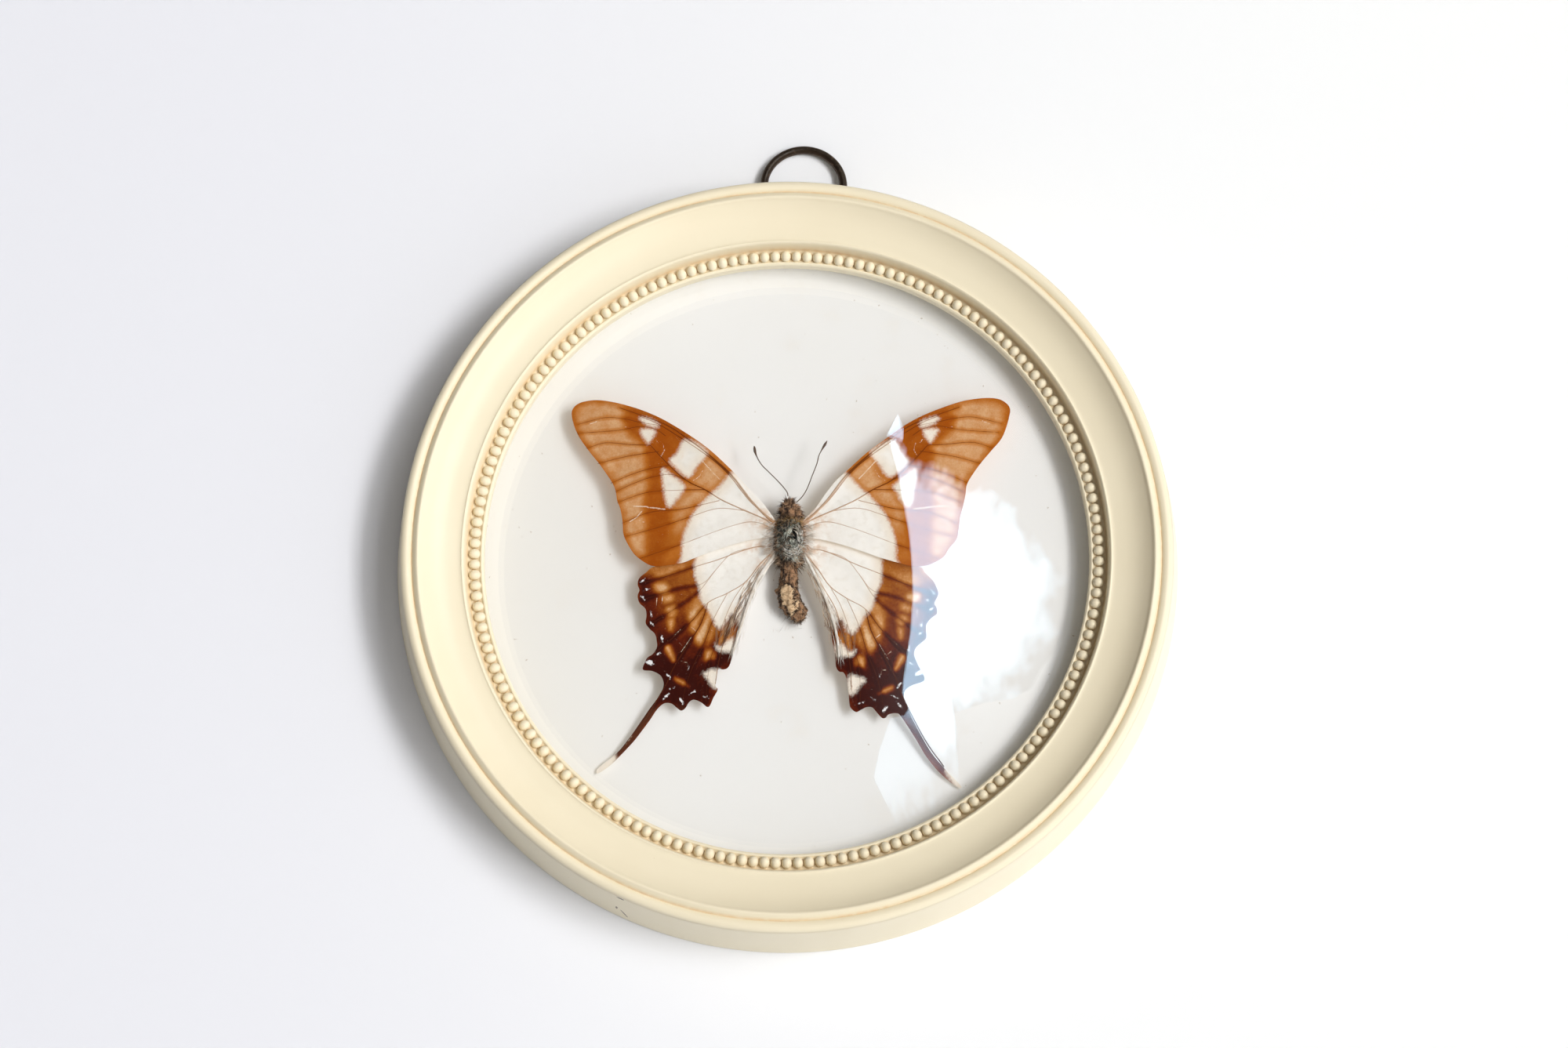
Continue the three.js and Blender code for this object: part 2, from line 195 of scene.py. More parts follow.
def bare_object(name, points, faces):
    mesh = bpy.data.meshes.new(name)
    mesh.from_pydata((np.asarray(points, float) * MM).tolist(), [], [tuple(f) for f in faces])
    made = bpy.data.objects.new(name, mesh)
    bpy.context.collection.objects.link(made)
    return made


def add_mesh(name, points, faces, material, body="case", slot=None, fields=None, crease_deg=40):
    piece = bare_object(name, points, faces)
    mesh = piece.data
    mesh.materials.append(material)
    mesh.shade_smooth()
    mesh.set_sharp_from_angle(angle=math.radians(crease_deg))
    for field, values in (fields or {}).items():
        data = mesh.attributes.new(field, "FLOAT", "POINT").data
        data.foreach_set("value", np.asarray(values, np.float32))
    mesh.validate()
    if body:
        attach(piece, body)
    return piece


def joined(parts):
    """One list of points and faces from several."""
    points, faces, count = [], [], 0
    for part_points, part_faces in parts:
        points.append(np.asarray(part_points, float))
        faces += [tuple(int(i) + count for i in f) for f in part_faces]
        count += len(part_points)
    return np.vstack(points), faces


def grid_faces(rows, columns, wrap_rows=False, wrap_columns=False):
    """Four-sided faces over points laid out row by row."""
    i = np.arange(rows if wrap_rows else rows - 1)[:, None]
    j = np.arange(columns if wrap_columns else columns - 1)[None, :]
    here = i * columns + j
    right = i * columns + (j + 1) % columns
    up = (i + 1) % rows * columns + j
    both = (i + 1) % rows * columns + (j + 1) % columns
    return np.stack([here, up, both, right], -1).reshape(-1, 4)


def capped_faces(rings, around):
    """Faces of a closed tube made of rings."""
    faces = [tuple(f[::-1]) for f in grid_faces(rings, around, False, True)]
    last = (rings - 1) * around
    return faces + [tuple(range(around)), tuple(range(last + around - 1, last - 1, -1))]


def turned(profile, steps):
    """A closed profile of (radius, height) turned round the axis."""
    profile = np.asarray(profile, float)
    turn = full_turn(steps)[:, None]
    x = np.cos(turn) * profile[:, 0]
    y = np.sin(turn) * profile[:, 0]
    z = np.ones_like(turn) * profile[:, 1]
    points = np.stack([x, y, z], -1).reshape(-1, 3)
    return points, grid_faces(steps, len(profile), True, True)


def merged(points, faces, distance=0.001):
    """Points that share a place become one, so that the middle of a turned disc closes."""
    keys = np.round(np.asarray(points) / distance).astype(int)
    _, first, where = np.unique(keys, axis=0, return_index=True, return_inverse=True)
    where = where.reshape(-1)
    kept = []
    for face in faces:
        corners = list(dict.fromkeys(int(where[i]) for i in face))
        if len(corners) > 2:
            kept.append(tuple(corners))
    return np.asarray(points)[first], kept


def tube(route, radii, sides, flat=1.0):
    """A capped tube along a route. flat squeezes its height."""
    route = np.asarray(route, float)
    along = unit(np.gradient(route, axis=0))
    side = unit(np.cross(along, (0, 0, 1)))
    up = np.cross(side, along) * flat
    turn = full_turn(sides)[None, :, None]
    ring = np.cos(turn) * side[:, None] + np.sin(turn) * up[:, None]
    points = (route[:, None] + np.asarray(radii, float)[:, None, None] * ring).reshape(-1, 3)
    return points, capped_faces(len(route), sides)


def hairs(roots, along, lengths, width, sag):
    """Thin three-sided bent spikes, with the number of the hair that each point belongs to."""
    along = unit(along)
    side = unit(np.cross(along, RNG.normal(size=along.shape)))
    other = np.cross(along, side)
    lengths = lengths[:, None]
    bend = sag * lengths
    middle = roots + along * lengths * 0.5 + bend * 0.25
    tip = roots + along * lengths + bend
    corners = []
    for centre, share in ((roots, 1.0), (middle, 0.75)):
        for k in range(3):
            turn = 2 * np.pi * k / 3
            corners.append(centre + share * width * (math.cos(turn) * side + math.sin(turn) * other))
    points = np.stack(corners + [tip], 1).reshape(-1, 3)
    pattern = [(0, 1, 4, 3), (1, 2, 5, 4), (2, 0, 3, 5), (3, 4, 6), (4, 5, 6), (5, 3, 6)]
    starts = np.arange(len(roots)) * 7
    faces = [tuple(start + i for i in f) for start in starts for f in pattern]
    return points, faces, np.repeat(np.arange(len(roots)), 7)


# Materials


def rgb(red, green, blue, gain=1.0):
    """A colour given as it looks on a screen, 0 to 255, as the shader takes it."""
    shares = np.array([red, green, blue]) / 255.0
    linear = np.where(shares <= 0.04045, shares / 12.92, ((shares + 0.055) / 1.055) ** 2.4)
    return (*np.clip(linear * gain, 0, 1), 1.0)


class Nodes:
    """Short ways to add nodes to a material or a world. A value is a number, a colour or an output."""

    def __init__(self, owner):
        owner.use_nodes = True
        self.tree = owner.node_tree

    def node(self, kind, **settings):
        made = self.tree.nodes.new(kind)
        for name, value in settings.items():
            setattr(made, name, value)
        return made

    def put(self, value, socket):
        if isinstance(value, bpy.types.NodeSocket):
            self.tree.links.new(value, socket)
        else:
            socket.default_value = value

    def place(self, kind="Object"):
        return self.node("ShaderNodeTexCoord").outputs[kind]

    def along(self, axis):
        """The place along one axis, in metres."""
        made = self.node("ShaderNodeSeparateXYZ")
        self.put(self.place(), made.inputs[0])
        return made.outputs[axis]

    def field(self, name):
        return self.node("ShaderNodeAttribute", attribute_name=name).outputs["Fac"]

    def noise(self, size, detail=3.0, rough=0.55, stretch=None):
        """Noise of 0 to 1 with lumps of about size mm."""
        made = self.node("ShaderNodeTexNoise")
        made.inputs["Scale"].default_value = 1 / (size * MM)
        made.inputs["Detail"].default_value = detail
        made.inputs["Roughness"].default_value = rough
        place = self.place()
        if stretch:
            mapping = self.node("ShaderNodeMapping")
            mapping.inputs["Scale"].default_value = stretch
            self.put(place, mapping.inputs["Vector"])
            place = mapping.outputs["Vector"]
        self.put(place, made.inputs["Vector"])
        return made.outputs["Fac"]

    def math(self, operation, a, b):
        made = self.node("ShaderNodeMath", operation=operation)
        self.put(a, made.inputs[0])
        self.put(b, made.inputs[1])
        return made.outputs[0]

    def add(self, *terms):
        total = terms[0]
        for term in terms[1:]:
            total = self.math("ADD", total, term)
        return total

    def times(self, a, b):
        return self.math("MULTIPLY", a, b)

    def jags(self, *noise):
        """Noise of -0.5 to 0.5."""
        return self.math("SUBTRACT", self.noise(*noise), 0.5)

    def step(self, value, low, high, to_low=0.0, to_high=1.0, course="SMOOTHSTEP"):
        """Turns low..high of a value into to_low..to_high."""
        made = self.node("ShaderNodeMapRange", interpolation_type=course)
        for socket, number in zip(made.inputs[:5], (value, low, high, to_low, to_high)):
            self.put(number, socket)
        return made.outputs[0]

    def mix(self, share, a, b):
        made = self.node("ShaderNodeMix", data_type="RGBA")
        self.put(share, made.inputs["Factor"])
        self.put(a, made.inputs[6])
        self.put(b, made.inputs[7])
        return made.outputs[2]

    def ramp(self, value, stops):
        """Colours in order along 0 to 1."""
        made = self.node("ShaderNodeValToRGB")
        elements = made.color_ramp.elements
        while len(elements) < len(stops):
            elements.new(0.5)
        for element, (place, colour) in zip(elements, stops):
            element.position = place
            element.color = colour
        self.put(value, made.inputs[0])
        return made.outputs[0]

    def blot(self, centre, half, turn):
        """1 in the middle of a stretched spot and 0 at its edge."""
        mapping = self.node("ShaderNodeMapping", vector_type="TEXTURE")
        mapping.inputs["Location"].default_value = [v * MM for v in centre]
        mapping.inputs["Rotation"].default_value = turn
        mapping.inputs["Scale"].default_value = [v * MM for v in half]
        self.put(self.place(), mapping.inputs["Vector"])
        away = self.node("ShaderNodeVectorMath", operation="LENGTH")
        self.put(mapping.outputs["Vector"], away.inputs[0])
        return self.math("SUBTRACT", 1.0, away.outputs["Value"])

    def surface(self, shader):
        self.put(shader, self.tree.nodes["Material Output"].inputs["Surface"])


class Paint(Nodes):
    """A material with a Principled shader."""

    def __init__(self, name, roughness, colour=(0.8, 0.8, 0.8, 1.0), **uniform):
        self.material = bpy.data.materials.new(name)
        super().__init__(self.material)
        self.shader = self.tree.nodes["Principled BSDF"]
        self.colour(colour)
        self.roughness(roughness)
        for socket, value in uniform.items():
            self.put(value, self.shader.inputs[socket.replace("_", " ")])

    def colour(self, value):
        self.put(value, self.shader.inputs["Base Color"])

    def roughness(self, value):
        self.put(value, self.shader.inputs["Roughness"])

    def bump(self, height, distance, strength=1.0):
        made = self.node("ShaderNodeBump")
        self.put(distance * MM, made.inputs["Distance"])
        self.put(strength, made.inputs["Strength"])
        self.put(height, made.inputs["Height"])
        self.put(made.outputs["Normal"], self.shader.inputs["Normal"])

    def let_through(self, rays, share, colour):
        """Lets a share of the light through, for rays of some kinds."""
        path = self.node("ShaderNodeLightPath")
        through = path.outputs[rays[0]]
        for ray in rays[1:]:
            through = self.math("MAXIMUM", through, path.outputs[ray])
        clear = self.node("ShaderNodeBsdfTransparent")
        self.put(colour, clear.inputs["Color"])
        both = self.node("ShaderNodeMixShader")
        self.put(self.times(through, share), both.inputs[0])
        self.put(self.shader.outputs[0], both.inputs[1])
        self.put(clear.outputs[0], both.inputs[2])
        self.surface(both.outputs[0])


class Glow(Nodes):
    """A material that only gives light."""

    def __init__(self, name):
        self.material = bpy.data.materials.new(name)
        super().__init__(self.material)
        self.light = self.node("ShaderNodeEmission")
        self.surface(self.light.outputs[0])

    def shine(self, colour, strength):
        self.put(colour, self.light.inputs["Color"])
        self.put(strength, self.light.inputs["Strength"])


# Scratches on the lower-left wall: middle, half sizes, slope down the wall and strength
SCRATCHES = (
    ((-28.43, -69.14, 12.8), (0.85, 0.6, 0.3), 0, 1.0),
    ((-29.62, -69.95, 5.7), (0.26, 0.6, 0.7), 0, 0.8),
    ((-28.3, -70.85, 3.95), (1.9, 0.6, 0.2), 63, 0.75),
)
SCRATCH_TURN_DEG = -22.4  # where they are, the wall runs this way


def cream_plastic():
    paint = Paint("cream_plastic", 0.34, Specular_IOR_Level=0.3)
    cream = paint.mix(paint.noise(14, 2), rgb(242, 232, 206), rgb(237, 226, 198))
    speck = paint.step(paint.noise(0.7, 1), 0.83, 0.87, 0, 0.3)
    cream = paint.mix(speck, cream, rgb(190, 160, 120))
    # Painted shade with some grime: the grooves and the bed round the beads are darkened to tan.
    crevice_shade_and_grime = paint.times(paint.field("crevice_shade_and_grime"), paint.step(paint.noise(1.6, 4), 0.3, 0.62, 0.45, 1))
    cream = paint.mix(paint.times(crevice_shade_and_grime, 0.5), cream, rgb(222, 180, 122))
    for centre, half, dip_deg, share in SCRATCHES:
        turn = (0, math.radians(dip_deg), math.radians(SCRATCH_TURN_DEG))
        mark = paint.add(paint.blot(centre, half, turn), paint.jags(0.4, 3))
        cream = paint.mix(paint.step(mark, -0.15, 0.2, 0, share), cream, rgb(84, 58, 40))
    paint.colour(cream)
    paint.roughness(paint.step(paint.noise(6, 3), 0.3, 0.7, 0.31, 0.37))
    return paint.material


def clear_glass():
    """Glass that lets lamps through to what lies under it."""
    paint = Paint("dome_glass", 0.0, (1, 1, 1, 1), IOR=1.5, Transmission_Weight=1.0)
    paint.let_through(("Is Shadow Ray", "Is Diffuse Ray"), 1.0, (0.98, 0.98, 0.98, 1))
    return paint.material


def card_paper():
    paint = Paint("mount_card_paper", 0.9)
    paper = paint.mix(paint.noise(30, 3), rgb(249, 250, 250), rgb(246, 246, 244))
    paper = paint.mix(paint.step(paint.noise(9, 4), 0.55, 0.8, 0, 0.3), paper, rgb(238, 232, 222))
    # Painted shade: the card is darker towards its left side.
    paper = paint.mix(paint.step(paint.along("X"), -0.055, -0.015, 0.6, 0), paper, rgb(238, 236, 230))
    speck = paint.step(paint.noise(0.8, 1), 0.775, 0.82, 0, 0.5)
    paper = paint.mix(speck, paper, rgb(168, 150, 126))
    paint.colour(paper)
    return paint.material


def back_paper():
    paint = Paint("back_board_hardboard", 0.85)
    board = paint.mix(paint.noise(5, 5, 0.65), rgb(128, 96, 62), rgb(104, 76, 48))
    fibre = paint.step(paint.noise(0.8, 4, 0.7, (1, 0.25, 1)), 0.45, 0.7, 0, 0.55)
    paint.colour(paint.mix(fibre, board, rgb(150, 118, 82)))
    paint.bump(paint.noise(0.6, 4), 0.08, 0.6)
    return paint.material


def aged_bronze():
    paint = Paint("aged_bronze", 0.45, Metallic=0.85)
    metal = paint.mix(paint.noise(2.2, 4), rgb(92, 76, 62), rgb(62, 50, 42))
    worn = paint.step(paint.noise(0.7, 3), 0.56, 0.72, 0, 0.6)
    paint.colour(paint.mix(worn, metal, rgb(128, 104, 84)))
    paint.roughness(paint.step(paint.noise(1.4, 3), 0.3, 0.7, 0.36, 0.6))
    paint.bump(paint.noise(0.5, 3), 0.03, 0.5)
    return paint.material


LIFT = 1.08  # makes up for what the glass takes
FORE_RAMP = [
    (0.0, rgb(216, 176, 134, LIFT)), (0.3, rgb(194, 132, 76, LIFT)),
    (0.62, rgb(178, 102, 32, LIFT)), (1.0, rgb(156, 76, 8, LIFT)),
]
HIND_RAMP = [
    (0.0, rgb(222, 184, 142, LIFT)), (0.2, rgb(190, 130, 72, LIFT)), (0.4, rgb(160, 94, 32, LIFT)),
    (0.6, rgb(128, 60, 12, LIFT)), (0.8, rgb(90, 28, 6, LIFT)), (1.0, rgb(54, 12, 5, LIFT)),
]
PALE_EDGE = rgb(234, 224, 210, LIFT)
PALE_MIDDLE = rgb(240, 237, 231, LIFT)


def wing_scales(name, ramp, speckle, margin, margin_width):
    """Wing colours from fields that the mesh carries, broken up like rows of scales.

    tone runs along the ramp from the lightest orange to the darkest brown.
    """
    paint = Paint(name, 0.7, Specular_IOR_Level=0.03)
    vein, near = paint.field("vein"), paint.field("near")
    fine = paint.jags(0.4, 4, 0.7)
    wide = paint.jags(2.2, 4, 0.6)

    def roughened(field, share):
        return paint.add(paint.field(field), paint.times(fine, share))

    tone = paint.add(
        paint.field("tone"), paint.times(wide, 0.5), paint.times(fine, 0.3),
        paint.step(near, 0.0, 0.8, 0.28, 0),
        paint.step(paint.field("edge"), 0.0, margin_width, margin, 0), paint.times(vein, 0.25),
    )
    colour = paint.mix(paint.times(vein, 0.75), paint.ramp(tone, ramp), rgb(88, 38, 10))
    colour = paint.mix(paint.field("grey"), colour, rgb(128, 84, 58))
    pale = paint.mix(paint.step(paint.field("pale"), 0.2, 3.0), PALE_EDGE, PALE_MIDDLE)
    pale = paint.mix(paint.step(paint.noise(1.1, 4), 0.45, 0.8, 0, 0.3), pale, rgb(214, 204, 186))
    root = paint.times(paint.field("root"), paint.step(near, 0.1, 1.5, 1, 0.25))
    root = paint.times(root, paint.step(paint.noise(1.3, 4), 0.35, 0.6))
    pale = paint.mix(root, pale, rgb(206, 160, 116))
    pale = paint.mix(paint.times(vein, 0.8), pale, rgb(180, 140, 104))
    pale_depth = paint.add(roughened("pale", 1.4), paint.times(wide, 0.8))
    colour = paint.mix(paint.step(pale_depth, -0.6, 0.6), colour, pale)
    for field, share, low, high, most, mark in (
        ("streak", 0.7, -0.12, 0.16, 0.75, rgb(136, 100, 76)),
        ("spot", 1.1, -0.02, 0.1, 1.0, rgb(238, 238, 240)),
    ):
        colour = paint.mix(paint.step(roughened(field, share), low, high, 0, most), colour, mark)
    loose = paint.step(paint.noise(0.28, 2, 0.8), speckle, speckle + 0.05, 0, 0.55)
    colour = paint.mix(loose, colour, rgb(222, 200, 180))
    worn = paint.step(roughened("scratch", 0.3), -0.03, 0.04, 0, 0.8)
    paint.colour(paint.mix(worn, colour, rgb(236, 214, 190)))
    paint.bump(paint.noise(0.3, 3, 0.7), 0.04, 0.5)
    paint.let_through(("Is Shadow Ray",), 0.6, (0.95, 0.9, 0.82, 1))
    return paint.material


def body_skin():
    paint = Paint("body_skin", 0.8)
    mottle = paint.step(paint.noise(1.1, 4, 0.75, (1, 0.45, 1)), 0.42, 0.58)
    brown = paint.mix(mottle, rgb(172, 132, 98), rgb(48, 32, 22))
    grey = paint.mix(paint.step(paint.noise(0.6, 4, 0.7), 0.38, 0.6), rgb(150, 154, 140), rgb(30, 32, 28))
    colour = paint.mix(paint.field("thorax"), brown, grey)
    torn = paint.add(paint.field("torn"), paint.times(paint.jags(0.8, 4, 0.7), 2.4))
    cream = paint.mix(paint.step(paint.noise(0.35, 4), 0.45, 0.7), rgb(226, 196, 158), rgb(150, 112, 76))
    colour = paint.mix(paint.step(torn, -0.55, -0.2, 0, 0.75), colour, rgb(44, 30, 22))
    colour = paint.mix(paint.step(torn, -0.1, 0.12), colour, cream)
    # Painted shade: the hole in the thorax is painted near black.
    colour = paint.mix(paint.step(paint.field("hole"), -0.1, 0.2), colour, rgb(10, 9, 8))
    paint.colour(colour)
    paint.bump(paint.noise(0.25, 4), 0.15, 0.9)
    return paint.material


def fur(name, dark, light):
    paint = Paint(name, 0.6)
    paint.colour(paint.mix(paint.field("tone"), dark, light))
    return paint.material


# The frame and what closes it


def frame_profile():
    band = smooth_line([
        (BASE_R, 0.6), (FRAME_R, BAND_Z - 2.15), (FRAME_R - 0.15, BAND_Z - 1.25), (74.35, BAND_Z - 0.4),
        (73.6, BAND_Z), (72.85, BAND_Z - 0.15), (72.35, BAND_Z - 0.6),
    ], 5)
    ridge = smooth_line([
        (71.85, RIDGE_Z - 0.35), (71.3, RIDGE_Z), (70.9, RIDGE_Z - 0.05), (70.4, RIDGE_Z - 0.6),
        (69.6, COVE_Z + 2.1), (68.7, COVE_Z + 1.5), (67.6, COVE_Z + 0.95), (66.3, COVE_Z + 0.5),
        (65, COVE_Z + 0.2), (63.8, COVE_Z), (63.2, COVE_Z), (62.9, COVE_Z + 0.1), (62.6, COVE_Z - 0.2),
        (62.45, COVE_Z - 0.8),
    ], 4)
    bed = smooth_line([
        (62.3, BED_Z + 0.5), (61.9, BED_Z - 0.2), (60.7, BED_Z - 0.4), (59.9, BED_Z - 0.2),
        (59.6, BED_Z + 0.15), (59.3, BED_Z + 0.2), (SIGHT_R, BED_Z - 0.1),
    ], 3)
    back = [
        (SIGHT_R, LIP_UNDER_Z), (BORE_R, LIP_UNDER_Z), (BORE_R, BOARD_BORE_DEPTH),
        (BOARD_BORE_R, BOARD_BORE_DEPTH), (BOARD_BORE_R, 0.0), (BASE_R - 0.6, 0.0),
    ]
    return np.vstack([band, ridge, bed, back])


def bead():
    """One bead at the +X end of its circle, as a squashed ball."""
    rows, columns = 9, 14
    rise = np.linspace(-0.45 * np.pi, 0.5 * np.pi, rows)[:, None]
    turn = full_turn(columns)[None, :]
    radial, tangent, upright = BEAD_HALF
    x = BEAD_R + radial * np.cos(rise) * np.cos(turn)
    y = tangent * np.cos(rise) * np.sin(turn)
    z = BEAD_TOP_Z - upright + upright * np.sin(rise) * np.ones_like(turn)
    points = np.stack([x, y, z], -1).reshape(-1, 3)
    faces = [tuple(f[::-1]) for f in grid_faces(rows, columns, False, True)]
    return merged(points, faces)


def beads():
    points, faces = bead()
    foot = (BEAD_R, 0, BED_Z)
    parts = []
    for i in range(BEAD_COUNT):
        turn = math.radians(BEAD_START_DEG) + 2 * math.pi * i / BEAD_COUNT
        size = 1 + RNG.normal(0, BEAD_SIZE_SPREAD)
        moved = (points - foot) * size + foot
        parts.append((moved @ np.array(Matrix.Rotation(-turn, 3, "Z")), faces))
    return joined(parts)


def box_cutter(name, width, low_y, high_y, top_z):
    xs = (HANGER_X - width / 2, HANGER_X + width / 2)
    corners = [(x, y, z) for x in xs for y in (low_y, high_y) for z in (-top_z, top_z)]
    faces = [(0, 1, 3, 2), (4, 6, 7, 5), (0, 4, 5, 1), (2, 3, 7, 6), (0, 2, 6, 4), (1, 5, 7, 3)]
    return bare_object(name, corners, faces)


def cut(points, faces, cutter):
    """The points and faces of a body less a box."""
    body = bare_object("uncut", points, faces)
    step = body.modifiers.new(cutter.name, "BOOLEAN")
    step.operation = "DIFFERENCE"
    step.solver = "EXACT"
    step.object = cutter
    result = body.evaluated_get(bpy.context.evaluated_depsgraph_get()).data
    new_points = np.array([v.co for v in result.vertices]) / MM
    new_faces = [tuple(p.vertices) for p in result.polygons]
    for gone in (body, cutter):
        bpy.data.objects.remove(gone)
    return new_points, new_faces


def crevice_shade_and_grime_at(points):
    """0 to 1, high in the grooves and round the foot of the beads: painted crevice shade, with some grime."""
    r = np.hypot(points[:, 0], points[:, 1])
    z = points[:, 2]
    total = np.zeros(len(points))
    grooves = ((72.35, BAND_Z - 0.6, 0.2), (62.2, BED_Z + 0.2, 0.4), (BEAD_R, BED_Z - 0.3, 0.8))
    for groove_r, groove_z, reach in grooves:
        total += np.exp(-((r - groove_r) ** 2 + (z - groove_z) ** 2) / reach ** 2)
    return np.clip(total, 0, 1)


def frame_piece():
    notch = box_cutter("notch", NOTCH_WIDTH, NOTCH_FROM_Y, BASE_R + 1, NOTCH_TOP)
    moulding = cut(*turned(frame_profile(), FRAME_STEPS), notch)
    points, faces = joined([moulding, beads()])
    fields = {"crevice_shade_and_grime": crevice_shade_and_grime_at(points)}
    piece = add_mesh("moulded_frame", points, faces, cream_plastic(), slot="frame_plastic", fields=fields)
    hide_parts("frame")


def dome_height(r, depth=0.0):
    """Height of the glass at a distance from the axis, at a depth under its outer face."""
    centre = LIP_UNDER_Z - GLASS_DROP - math.sqrt(GLASS_SPHERE_R ** 2 - SIGHT_R ** 2)
    return centre + np.sqrt((GLASS_SPHERE_R - depth) ** 2 - np.asarray(r) ** 2)


def glass_piece():
    r = GLASS_R * np.sqrt(np.linspace(0, 1, 40))
    inner_r = (GLASS_R - 0.7) * np.sqrt(np.linspace(0, 1, 40))
    outer = np.stack([r, dome_height(r)], -1)[::-1]
    inner = np.stack([inner_r, dome_height(inner_r, GLASS_THICKNESS)], -1)
    inner[-1, 1] = GLASS_EDGE_Z
    profile = np.vstack([[(GLASS_R, GLASS_EDGE_Z)], outer, inner])
    piece = add_mesh("domed_glass", *merged(*turned(profile, 180)), clear_glass(), slot="glass")
    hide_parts("convex_glass")


def board_piece():
    top = BOARD_BORE_DEPTH - GAP
    profile = [(0, 0), (BOARD_R - 0.3, 0), (BOARD_R, 0.3), (BOARD_R, top), (0, top)]
    piece = add_mesh("hardboard_back", *merged(*turned(profile, 180)), back_paper(), slot="board")
    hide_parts("back_board")


# The hanger


def hanger():
    bronze = aged_bronze()
    ring = add_mesh("wire_ring", *ring_shape(), bronze, body="ring", slot="hanger_metal")
    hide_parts("hanging_ring")
    staple = add_mesh("wire_staple", *staple_shape(), bronze, slot="hanger_metal")
    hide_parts("hanger_staple")


def ring_shape():
    radial, upright = RING_SECTION
    middle = RING_OUTER_R - radial / 2
    turn = full_turn(20)
    profile = np.stack([middle + radial / 2 * np.cos(turn), upright / 2 * np.sin(turn)], -1)
    points, faces = turned(profile, 120)
    droop = np.array(Matrix.Rotation(-math.radians(RING_DROOP_DEG), 3, "X"))
    return (points + (0, middle, 0)) @ droop.T + (HANGER_X, HINGE_Y, HINGE_Z), faces


def staple_shape():
    """A wire bent round the ring from behind, drawn flat and then stood up across the hinge."""
    turn = np.radians(np.linspace(-90, 90, 15))
    bend = np.stack([HINGE_Z - STAPLE_BEND_R * np.cos(turn), HINGE_Y + STAPLE_BEND_R * np.sin(turn)], -1)
    legs = [(STAPLE_LEG_TOP, HINGE_Y + side * STAPLE_BEND_R) for side in (-1, 1)]
    flat = np.vstack([legs[:1], bend, legs[1:]])
    route = np.column_stack([flat, np.full(len(flat), HANGER_X)])
    points, faces = tube(route, np.full(len(flat), STAPLE_WIRE_R), 12)
    return points[:, ::-1], [face[::-1] for face in faces]


# The wings. Outlines run from the root along the front edge and back along the inner edge.


LEFT_FOREWING = [
    (-1.9, 5.4), (-4.4, 9), (-7.5, 12.3), (-11.5, 16.3), (-15.8, 20.1), (-20.4, 23.3), (-25.5, 26.2),
    (-30.1, 28.1), (-34.6, 29.3), (-38.5, 29.8), (-41.5, 29.3), (-42.9, 28.3), (-43.3, 27), (-42.8, 24.9),
    (-41.7, 22.5), (-39.7, 19.7), (-37.2, 16.7), (-34.7, 13.3), (-33.8, 11.4), (-33.4, 9.5), (-32.7, 7.8),
    (-32.1, 5.2), (-31.8, 2.7), (-30.7, 0.5), (-29.3, -1.4), (-27.4, -2.8), (-25.7, -3.5), (-23.6, -3.4),
    (-20, -2.7), (-17.3, -1.5), (-12, 0.6), (-6.7, 2.3), (-1.9, 3.2),
]
RIGHT_FOREWING = [
    (2.5, 5.6), (5.2, 8.8), (6.9, 11.5), (9, 14.5), (11.8, 17.4), (15.1, 20.7), (18.4, 23.4), (22.4, 26.6),
    (25.7, 28.6), (29.7, 30.5), (33.6, 32), (37.6, 32.8), (40.2, 32.8), (41.9, 32), (42.7, 30.8), (42.5, 29),
    (41.9, 26.6), (41, 24.5), (39, 21.9), (37.4, 19.8), (35.7, 17.2), (34.6, 15), (34.4, 13.1), (34, 10.7),
    (33.5, 8.3), (33.3, 6), (32.9, 3.9), (31.5, 2.1), (30.5, 0.3), (28.2, -1.2), (26.3, -1.7), (24.3, -1.8),
    (22, -1.3), (18.3, -0.4), (11.8, 1.6), (7.1, 2.7), (2.7, 3.3),
]
LEFT_HINDWING = [
    (-1.8, 3), (-6.7, 3.6), (-12, 2.2), (-16.5, 0.2), (-21.8, -2.1), (-25.8, -3.5), (-27, -4.5), (-28.3, -5.7),
    (-28.6, -7), (-28.2, -8.1), (-28.5, -9.2), (-28.1, -10.6), (-26.9, -11.7), (-26.6, -13.1), (-26.7, -14.5),
    (-25.9, -15.6), (-24.8, -16.6), (-24.4, -18), (-24.3, -19.2), (-25, -20.5), (-26, -21.2), (-26.5, -22.2),
    (-26.8, -23.6), (-25.1, -23.8), (-23.4, -24.6), (-22.7, -26), (-22.8, -27.3), (-23.6, -28.9),
    (-25.4, -31.5), (-27.1, -34.2), (-29, -37.1), (-31, -39.7), (-33.8, -42.1), (-34.8, -43.1),
    (-34.5, -43.7), (-32, -41.9), (-29.1, -38.8), (-27.4, -36.7), (-25.1, -33.4), (-23.7, -31.2),
    (-22.4, -30), (-21, -30), (-19.9, -30.8), (-19.1, -31.3), (-18.3, -30.8), (-17.6, -29.6), (-16.7, -29.1),
    (-15.3, -29.6), (-14.2, -30.4), (-13.6, -30.2), (-13, -28.7), (-12.2, -27), (-12.7, -26.2),
    (-12.4, -23.3), (-11.3, -23.1), (-10.5, -22.8), (-10, -21.9), (-9.7, -20.5), (-9.3, -18), (-8.8, -15.5),
    (-7.7, -12.4), (-6.2, -9), (-4.7, -5.6), (-3.2, -2.8), (-1.8, -0.5),
]
